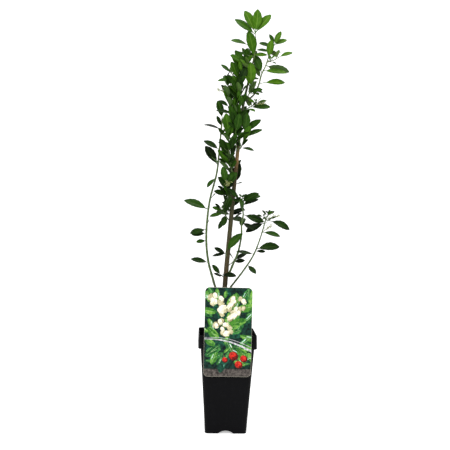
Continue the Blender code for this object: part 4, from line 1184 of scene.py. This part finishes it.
limb_nodes = ["trunk", "leader_bough"] + [f"{name}_bough" for name in BARE_SHOOTS]
limb_trees = [tree_of(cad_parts[name].data) for name in limb_nodes]
top = trunk.part(LEADER_END + gap, 1.0, SHOOT_SPACING)
stems = {"leader": (top, LEADER_SPRAYS, 0, ())}
for name, (shoot_line, shoot_radii, bare, sprays, fillers, shoot_panicles) in SHOOTS.items():
    line = Limb.through(shoot_line, shoot_radii)
    start = bare + GAP / line.length if bare else line.comes_out_of(trunk)
    stems[name] = (line.part(start, 1.0, SHOOT_SPACING), sprays, fillers, shoot_panicles)
stem_trees = {name: tree_of(tube(name, stem[0], 1)) for name, stem in stems.items()}
solid_trees = {name: tree_of(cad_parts[f"{name}_foliage"].data) for name in stems}
chance = random.Random(SEED)
masses = {}
panicles = []
for name, (stem, sprays, fillers, shoot_panicles) in stems.items():
    grown = [solid_trees[other] for other in masses]
    others = limb_trees + grown + [t for other, t in stem_trees.items() if other != name]
    mass = Mass(f"{name}_foliage", stem, others, chance)
    for panicle in shoot_panicles:
        mass.add_panicle(*panicle)
    for spray in sprays:
        mass.add_spray(*spray)
    mass.add_fillers(fillers)
    masses[name] = mass


def solids_round(mass):
    """The limbs' search trees, and those of all the masses' solids but its own."""
    return limb_trees + [tree for name, tree in solid_trees.items() if masses[name] is not mass]


# The side branches of the panicles come before the finer growth, which leaves them room.
PANICLE_BRANCHES = 8
BRANCH_START = 0.22  # of the panicle's axis
BRANCH_RISE = 30
BRANCH_REACH = 0.62  # of the panicle's length
BRANCH_SIZES = (0.7, 1.2)
BRANCH_RADII = (0.40, 0.26)
BRANCH_TRIES = 4  # each time shorter, until it clears the leaves
BRANCH_SHRINK = 0.75
BRANCH_ARCH = 0.08  # of its reach, up in the middle
BRANCH_DROOP = 0.15  # of its reach, down at the tip
FRONT_PANICLE = {"share": 0.9, "rise": 25, "length": 24}  # in front of the trunk, at half its height
FRONT_BEARINGS = (275, 290, 260, 305, 245, 320)  # tried until it finds room
bud_chance = random.Random(SEED + 2)
for bearing in FRONT_BEARINGS:
    if masses["column_low"].add_panicle(bearing=bearing, **FRONT_PANICLE):
        break
panicle_branches = []
branch_trees = []
for mass, axis, bearing, length in panicles:
    near = solids_round(mass)
    for k in range(PANICLE_BRANCHES):
        share = BRANCH_START + (1 - BRANCH_START) * k / (PANICLE_BRANCHES - 1)
        root = axis.at(share)
        ahead = (heading(bearing + GOLDEN_ANGLE * k, BRANCH_RISE) + axis.ahead(0.5) * 0.7).normalized()
        shorter = 1.25 - 0.6 * share  # towards the panicle's tip
        reach = length * BRANCH_REACH * bud_chance.uniform(*BRANCH_SIZES) * shorter
        for _ in range(BRANCH_TRIES):
            tip = root + ahead * reach - Vector((0, 0, BRANCH_DROOP * reach))
            middle = root.lerp(tip, 0.5) + Vector((0, 0, BRANCH_ARCH * reach))
            branch = Limb([root, middle, tip], BRANCH_RADII)
            tree = tree_of(tube("branch", branch, 0))
            if not touches(tree, near + mass.leaf_trees):
                panicle_branches.append((branch, bearing + GOLDEN_ANGLE * k))
                branch_trees.append(tree)
                break
            reach *= BRANCH_SHRINK

# The finer growth that fills the crown round the trunk: short thin twigs with smaller leaves.
FINE_SPACING = 13.0  # between one fine twig and the next along a stem
FINE_PER_STEP = 3
FINE_TWIG = (7.0, 15.0)
FINE_TWIG_RADIUS = 0.6
FINE_LEAF = (24.0, 37.0)
FINE_RISE = (18, 70)
FINE_SPREAD = 25
CROWN_LOW = Vector((-30, -40, 507))  # the finer leaves' tips keep between these two corners
CROWN_HIGH = Vector((42, 60, 850))
DENSE_SHOOTS = ("column_low", "column_left", "column_front", "column_top", "column_back", "column_back_high",
                "upper_left", "upper_front", "upper_back")
SPRIGS = {  # small leaves at the tips, as sprays of the shoots
    "right_low": (
        (1.0, 20, 35, 9, 3, 15), (0.97, 150, 20, 9, 3, 14), (0.93, 330, 18, 12, 3, 15),
        (0.9, 190, 30, 9, 2, 14), (0.86, 20, 40, 10, 3, 13),
    ),
    "upper_right": (
        (0.60, 350, 45, 14, 3, 15), (0.66, 10, -12, 10, 3, 13), (0.72, 15, 30, 16, 3, 15),
        (0.8, 5, 15, 14, 3, 14),
    ),
    "right_spray": ((0.5, 330, 30, 9, 3, 14), (0.9, 15, -20, 10, 3, 15), (0.95, 320, 35, 12, 3, 14)),
    "upper_spur": ((0.5, 20, 5, 9, 3, 15), (0.8, 0, -25, 10, 3, 15)),
    "middle": ((0.9, 200, 25, 8, 3, 16), (1.0, 20, 40, 8, 3, 14)),
    "trunk_left": ((0.7, 300, 20, 8, 3, 18), (1.0, 200, 40, 8, 3, 18)),
}
fine_chance = random.Random(SEED + 1)
for name, sprays in SPRIGS.items():
    mass = masses[name]
    mass.others = solids_round(mass) + branch_trees
    for spray in sprays:
        mass.add_spray(*spray, FINE_TWIG_RADIUS)
for name in DENSE_SHOOTS:
    mass = masses[name]
    low, high = (Vector(c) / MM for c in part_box(mass.name))
    mass.reach = (Vector(map(max, low, CROWN_LOW)), Vector(map(min, high, CROWN_HIGH)))
    mass.chance = fine_chance
    mass.others = solids_round(mass) + branch_trees
    count = round(mass.stem.length / FINE_SPACING * FINE_PER_STEP)
    for k in range(count):
        share = (k + fine_chance.random()) / count
        bearing = GOLDEN_ANGLE * k + fine_chance.uniform(-FINE_SPREAD, FINE_SPREAD)
        rise = fine_chance.uniform(*FINE_RISE)
        twig_length = fine_chance.uniform(*FINE_TWIG)
        leaf_length = fine_chance.uniform(*FINE_LEAF)
        mass.add_spray(share, bearing, rise, twig_length, 3, leaf_length, FINE_TWIG_RADIUS)

LEAF_ROWS = (0.0, 0.07, 0.13, 0.20, 0.29, 0.38, 0.47, 0.56, 0.65, 0.74, 0.83, 0.91, 0.97, 1.0)
LEAF_COLUMNS = 4
STALK_END = 0.13
STALK_WIDTH = 0.017
LEAF_TOOTH = 0.035
BLADE_WIDTH = 0.40  # of the length
BLADE_FULLNESS = 1.1  # above 1, the widest place is nearer to the tip
SHEET_THICKNESS = 0.009  # of the length
LEAF_SHAPES = 5
LEAF_BEND = (0.03, 0.11)
LEAF_TWIST = 0.35
LEAF_SWAY = 0.05
LEAF_BLOTCH = 22.0
LEAF_ROUGHNESS = (0.38, 0.68)  # of the waxy side and of the underside
VEIN_PAIRS = 11.0
VEIN_LEAN = -0.16
VEIN_EDGE = 0.28  # share of the way to the next vein
RIB_EDGES = (0.02, 0.14)  # shares of the way to the leaf's edge


def unit_leaf():
    """One leaf of length 1 along +Y with its face up, as (points, faces, UVs of the faces' corners)."""
    bend = chance.uniform(*LEAF_BEND)
    twist = chance.uniform(-LEAF_TWIST, LEAF_TWIST)
    sway = chance.uniform(-LEAF_SWAY, LEAF_SWAY)
    bpy.ops.object.select_all(action="DESELECT")
    bpy.ops.mesh.primitive_grid_add(x_subdivisions=LEAF_COLUMNS, y_subdivisions=len(LEAF_ROWS) - 1, size=2)
    leaf = bpy.context.object
    for vert in leaf.data.vertices:
        row = round((vert.co.y + 1) / 2 * (len(LEAF_ROWS) - 1))
        y = LEAF_ROWS[row]
        if y <= STALK_END:
            half_width = STALK_WIDTH
        else:
            t = (y - STALK_END) / (1 - STALK_END)
            half_width = BLADE_WIDTH / 2 * max(0.0, math.sin(math.pi * t**BLADE_FULLNESS)) ** 0.68
            half_width = max(STALK_WIDTH * (1 - t), half_width * (1 + LEAF_TOOTH * (-1) ** row))
        x = vert.co.x * half_width
        quilt = 0.010 * math.cos(math.pi * row) * math.sin(math.pi * abs(vert.co.x)) * (y > STALK_END)
        z = LEAF_FOLD * abs(x) - bend * y**2 + quilt + twist * x * y
        vert.co = Vector((x + sway * math.sin(math.pi * y), y, z))
    sheet = leaf.modifiers.new("thickness", "SOLIDIFY")
    sheet.thickness = SHEET_THICKNESS
    sheet.offset = 0.0
    apply_all(leaf)
    mesh = leaf.data
    points = [v.co.copy() for v in mesh.vertices]
    faces = [tuple(p.vertices) for p in mesh.polygons]
    uvs = [tuple(u.uv) for u in mesh.uv_layers.active.data]
    undersides = [p.normal.z < 0 for p in mesh.polygons for _ in p.vertices]
    uvs = [((u + under) / 2, v) for (u, v), under in zip(uvs, undersides)]
    bpy.data.objects.remove(leaf)
    return points, faces, uvs


def joined(name, shapes):
    """One mesh of many shapes, each given as (points, faces, UVs or None)."""
    points, faces, uvs = [], [], []
    for shape_points, shape_faces, shape_uvs in shapes:
        first = len(points)
        points.extend(shape_points)
        faces.extend(tuple(first + i for i in face) for face in shape_faces)
        uvs.extend(shape_uvs or ())
    mesh = bpy.data.meshes.new(name)
    mesh.from_pydata(points, [], faces)
    if uvs:
        layer = mesh.uv_layers.new(name="UVMap")
        layer.data.foreach_set("uv", [c for uv in uvs for c in uv])
    mesh.update()
    return smooth_piece(name, mesh)


def mesh_shape(mesh):
    """A mesh as (points, faces, None)."""
    return [v.co.copy() for v in mesh.vertices], [tuple(p.vertices) for p in mesh.polygons], None


def leaf_material(name, colour, shade_colour, vein_colour, under_colour):
    """A leaf's waxy upper side with paler veins, and its dull, paler underside.

    The left half of the UV map is the upper side, and the right half the underside.
    """
    material = new_material(name, ior=1.45, specular_ior_level=0.07)
    uv = add_node(material, "ShaderNodeUVMap")
    u, v = (add_node(material, "ShaderNodeSeparateXYZ", {"Vector": uv}, axis) for axis in "XY")
    under = add_node(material, "ShaderNodeMath", {0: u, 1: 0.5}, operation="GREATER_THAN")
    across = add_node(material, "ShaderNodeMath", {0: u, 1: 2.0}, operation="MULTIPLY")
    across = add_node(material, "ShaderNodeMath", {0: across}, operation="FRACT")
    across = add_node(material, "ShaderNodeMapRange", {"Value": across, "To Min": -1.0, "To Max": 1.0})
    across = add_node(material, "ShaderNodeMath", {0: across}, operation="ABSOLUTE")
    # Side veins leave the midrib in pairs and lean to the tip.
    lean = add_node(material, "ShaderNodeMath", {0: across, 1: VEIN_LEAN}, operation="MULTIPLY")
    along = add_node(material, "ShaderNodeMath", {0: v, 1: lean}, operation="ADD")
    pairs = add_node(material, "ShaderNodeMath", {0: along, 1: VEIN_PAIRS}, operation="MULTIPLY")
    saw = add_node(material, "ShaderNodeMath", {0: pairs, 1: 1.0}, operation="PINGPONG")
    vein, rib = (
        add_node(material, "ShaderNodeMapRange", {
            "Value": off, "From Min": core, "From Max": edge, "To Min": 1.0, "To Max": 0.0,
        })
        for off, core, edge in ((saw, 0.0, VEIN_EDGE), (across, *RIB_EDGES))
    )
    veins = add_node(material, "ShaderNodeMath", {0: vein, 1: 0.35}, operation="MULTIPLY")
    veins = add_node(material, "ShaderNodeMath", {0: veins, 1: rib}, operation="MAXIMUM")
    paleness = add_node(material, "ShaderNodeMath", {0: veins, 1: 0.6}, operation="MULTIPLY")
    blade, _ = mottle(material, LEAF_BLOTCH, (colour, shade_colour), 3.0, between=(0.35, 0.65))
    for share, paint in ((under, under_colour), (paleness, vein_colour)):
        blade = add_node(material, "ShaderNodeMix", {0: share, 6: blade, 7: paint}, 2, data_type="RGBA")
    gloss = add_node(material, "ShaderNodeMapRange", {
        "Value": under, "To Min": LEAF_ROUGHNESS[0], "To Max": LEAF_ROUGHNESS[1],
    })
    inputs = {"Height": veins, "Strength": 0.5, "Distance": 0.5 * MM}
    relief = add_node(material, "ShaderNodeBump", inputs, invert=True)
    surface(material, base_color=blade, roughness=gloss, normal=relief)
    return material


# Painted light and shade: the tones run from leaves in full sun to leaves in deep shade.
LEAF_TONES = {  # upper side, its darker tone, vein, underside
    "young": ("#4a7315", "#365f0d", "#74943a", "#506a30"),
    "bright": ("#375f10", "#284c09", "#5b7e2c", "#46602e"),
    "full": ("#2a4d0e", "#1c3b08", "#486728", "#3c5529"),
    "dark": ("#1c3709", "#112705", "#354f1d", "#2d421d"),
    "in_deep_shade": ("#0f1f07", "#081503", "#243714", "#223316"),
}


# Painted light and shade: the score above which each tone is used; below the last, a leaf is in deep shade.
TONE_LEVELS = ((1.0, "young"), (0.78, "bright"), (0.5, "full"), (0.22, "dark"))
TONE_HEIGHTS = (175, 850)  # the height where the score of a leaf is 0, and how far above it is 1
TONE_SCATTER = 0.36
SUNLIT_SHOOTS = ("leader", "upper_right", "upper_front", "upper_back", "upper_spur")
SUNLIT = 0.25  # added to the score
SHADED = 0.35  # taken off it, towards the back
SHADED_FROM = 4.0


def tone_of(root, name):
    """Painted light and shade: leaves are lighter the higher they stand and on sunlit shoots, and darker
    towards the back, with a random scatter.
    """
    foot, span = TONE_HEIGHTS
    score = (root.z - foot) / span + fine_chance.uniform(-TONE_SCATTER, TONE_SCATTER)
    if name in SUNLIT_SHOOTS:
        score += SUNLIT
    if root.y > SHADED_FROM:
        score -= SHADED
    return next((tone for level, tone in TONE_LEVELS if score > level), "in_deep_shade")


leaf_shapes = [unit_leaf() for _ in range(LEAF_SHAPES)]
placed = {tone: [] for tone in LEAF_TONES}
for name, mass in masses.items():
    for root, ahead, face, length in mass.leaves:
        points, faces, uvs = leaf_shapes[fine_chance.randrange(LEAF_SHAPES)]
        across = ahead.cross(face)
        turned = [(root + (across * p.x + ahead * p.y + face * p.z) * length) * MM for p in points]
        placed[tone_of(root, name)].append((turned, faces, uvs))
for tone, shapes in placed.items():
    leaves = joined(f"leaves_{tone}", shapes)
    dress(leaves, leaf_material(f"waxy_leaf_{tone}", *LEAF_TONES[tone]), "foliage")

TWIG_STEP = 3.0
twig_shapes = []
for mass in masses.values():
    for twig in mass.twigs:
        smooth = twig.part(0.0, 1.0, TWIG_STEP) if twig.length > 2 * TWIG_STEP else twig
        twig_shapes.append(mesh_shape(tube("twig", smooth, 3, joint_swell)))
green_twigs = joined("green_twigs", twig_shapes)
twig_bark = green_bark_material("twig_bark", 300, "#3a5222", 900, "#55692f")
dress(green_twigs, twig_bark, "green_bark", *(mass.name for mass in masses.values()))

# Flower buds: small pale urns on a branched, drooping panicle.
BRANCH_BUDS = 3
BUD_STALK = 1.8
BUD_STALK_RADIUS = 0.22
BUD_FALL = -25
BUD_SIZE = (1.6, 2.5)
BUD_WIDTH = 0.38  # half of the widest place, of the length
BUD_COLOURS = ("#858d4c", "#b0b278")
BLUSH = 4.0
URN = ((0.0, 0.30), (0.18, 0.80), (0.45, 1.0), (0.75, 0.72), (0.93, 0.36), (1.0, 0.22))
bpy.ops.object.select_all(action="DESELECT")
bpy.ops.mesh.primitive_uv_sphere_add(segments=6, ring_count=7, radius=1.0)
urn = bpy.context.object
for vert in urn.data.vertices:
    level = math.acos(min(1.0, max(-1.0, -vert.co.z))) / math.pi
    ring = math.hypot(vert.co.x, vert.co.y) or 1.0
    k = min(len(URN) - 2, int(level * (len(URN) - 1)))
    t = level * (len(URN) - 1) - k
    along = URN[k][0] + (URN[k + 1][0] - URN[k][0]) * t
    width = URN[k][1] + (URN[k + 1][1] - URN[k][1]) * t
    vert.co = Vector((vert.co.x / ring * width * BUD_WIDTH, vert.co.y / ring * width * BUD_WIDTH, along))
urn_points, urn_faces, _ = mesh_shape(urn.data)
bpy.data.objects.remove(urn)
stalk_shapes = [mesh_shape(tube("axis", axis, 2)) for _, axis, _, _ in panicles]
bud_shapes = []
for branch, bearing in panicle_branches:
    stalk_shapes.append(mesh_shape(tube("branch", branch, 1)))
    for j in range(BRANCH_BUDS):
        place = branch.at((j + 1) / BRANCH_BUDS)
        side = heading(bearing + GOLDEN_ANGLE * j, BUD_FALL) * BUD_STALK
        bud_root = place + side
        stalk = Limb([place, bud_root], (BUD_STALK_RADIUS, BUD_STALK_RADIUS))
        stalk_shapes.append(mesh_shape(tube("stalk", stalk, 0)))
        size = bud_chance.uniform(*BUD_SIZE)
        down = (side.normalized() + Vector((0, 0, -0.8))).normalized()
        turn = Vector((0, 0, 1)).rotation_difference(down).to_matrix() * size
        points = [(bud_root + turn @ p) * MM for p in urn_points]
        bud_shapes.append((points, urn_faces, None))
panicle_stalks = joined("panicle_stalks", stalk_shapes)
dress(panicle_stalks, green_bark_material("stalk_skin", 300, "#66703a", 900, "#6f7b40"), "foliage")
panicle_buds = joined("panicle_buds", bud_shapes)
bud_skin = new_material("bud_skin", roughness=0.5, ior=1.4, specular_ior_level=0.2)
surface(bud_skin, base_color=mottle(bud_skin, BLUSH, BUD_COLOURS, 2.0)[0])
dress(panicle_buds, bud_skin, "foliage")


# ---------------------------------------------------------------- studio
# A plain pale floor that curves up into a backdrop, two large soft lights, and a level camera in front.
# These values are in metres.

VIEW_DISTANCE = 1.6
VIEW_BEARING = math.radians(-2.3)
VIEW_ROLL = math.radians(-1.25)
VIEW_ACROSS = -0.00957
VIEW_HEIGHT = 0.4618
FRAME_SPAN = 0.00228 * 450  # what the frame spans at the plant
FLOOR_SIZE = 8.0
FLOOR_SWEEP = 1.5
BACKDROP_HEIGHT = 5.0
SENSOR = 36

bpy.ops.object.select_all(action="DESELECT")
bpy.ops.mesh.primitive_plane_add(size=FLOOR_SIZE)
studio_floor = bpy.context.object
studio_floor.name = "studio_floor"
bpy.ops.object.mode_set(mode="EDIT")
pick("EDGE", lambda edge: min(v.co.y for v in edge.verts) > FLOOR_SIZE / 2 - 0.1)
bpy.ops.mesh.extrude_region_move(TRANSFORM_OT_translate={"value": (0, 1.2, 1.2)})
bpy.ops.mesh.extrude_region_move(TRANSFORM_OT_translate={"value": (0, 0, BACKDROP_HEIGHT)})
bpy.ops.object.mode_set(mode="OBJECT")
sweep = studio_floor.modifiers.new("sweep", "BEVEL")
sweep.width = FLOOR_SWEEP
sweep.segments = 12
sweep.angle_limit = math.radians(20)
apply_all(studio_floor)
studio_floor.data.shade_smooth()
painted_floor = new_material(
    "painted_floor", roughness=0.9, specular_ior_level=0.0, base_color="#f7f7f7",
    emission_color="#f7f7f7", emission_strength=0.5,
)
studio_floor.data.materials.append(painted_floor)

world = bpy.data.worlds.new("studio")
bpy.context.scene.world = world
world.use_nodes = True
feed(world, world.node_tree.nodes["Background"], {"Color": "#ffffff", "Strength": 0.6})


def soft_light(name, place, size, power):
    """A square area light that looks at the middle of the plant."""
    light = bpy.data.lights.new(name, "AREA")
    light.size = size
    light.energy = power
    lamp = add_object(name, light)
    lamp.location = place
    lamp.rotation_euler = (Vector((0, 0, 0.5)) - Vector(place)).to_track_quat("-Z", "Y").to_euler()


soft_light("front_light", (-0.9, -1.9, 2.1), 1.6, 40)
soft_light("top_light", (0.6, 0.3, 2.8), 1.8, 34)

camera = bpy.data.cameras.new("camera")
camera.sensor_width = SENSOR
camera.lens = SENSOR * VIEW_DISTANCE / FRAME_SPAN
view = add_object("camera", camera)
view.location = (
    VIEW_DISTANCE * math.sin(VIEW_BEARING) + VIEW_ACROSS * math.cos(VIEW_BEARING),
    -VIEW_DISTANCE * math.cos(VIEW_BEARING) + VIEW_ACROSS * math.sin(VIEW_BEARING),
    VIEW_HEIGHT,
)
view.rotation_euler = (math.radians(90), VIEW_ROLL, VIEW_BEARING)
bpy.context.scene.camera = view
bpy.context.scene.view_settings.view_transform = "Standard"
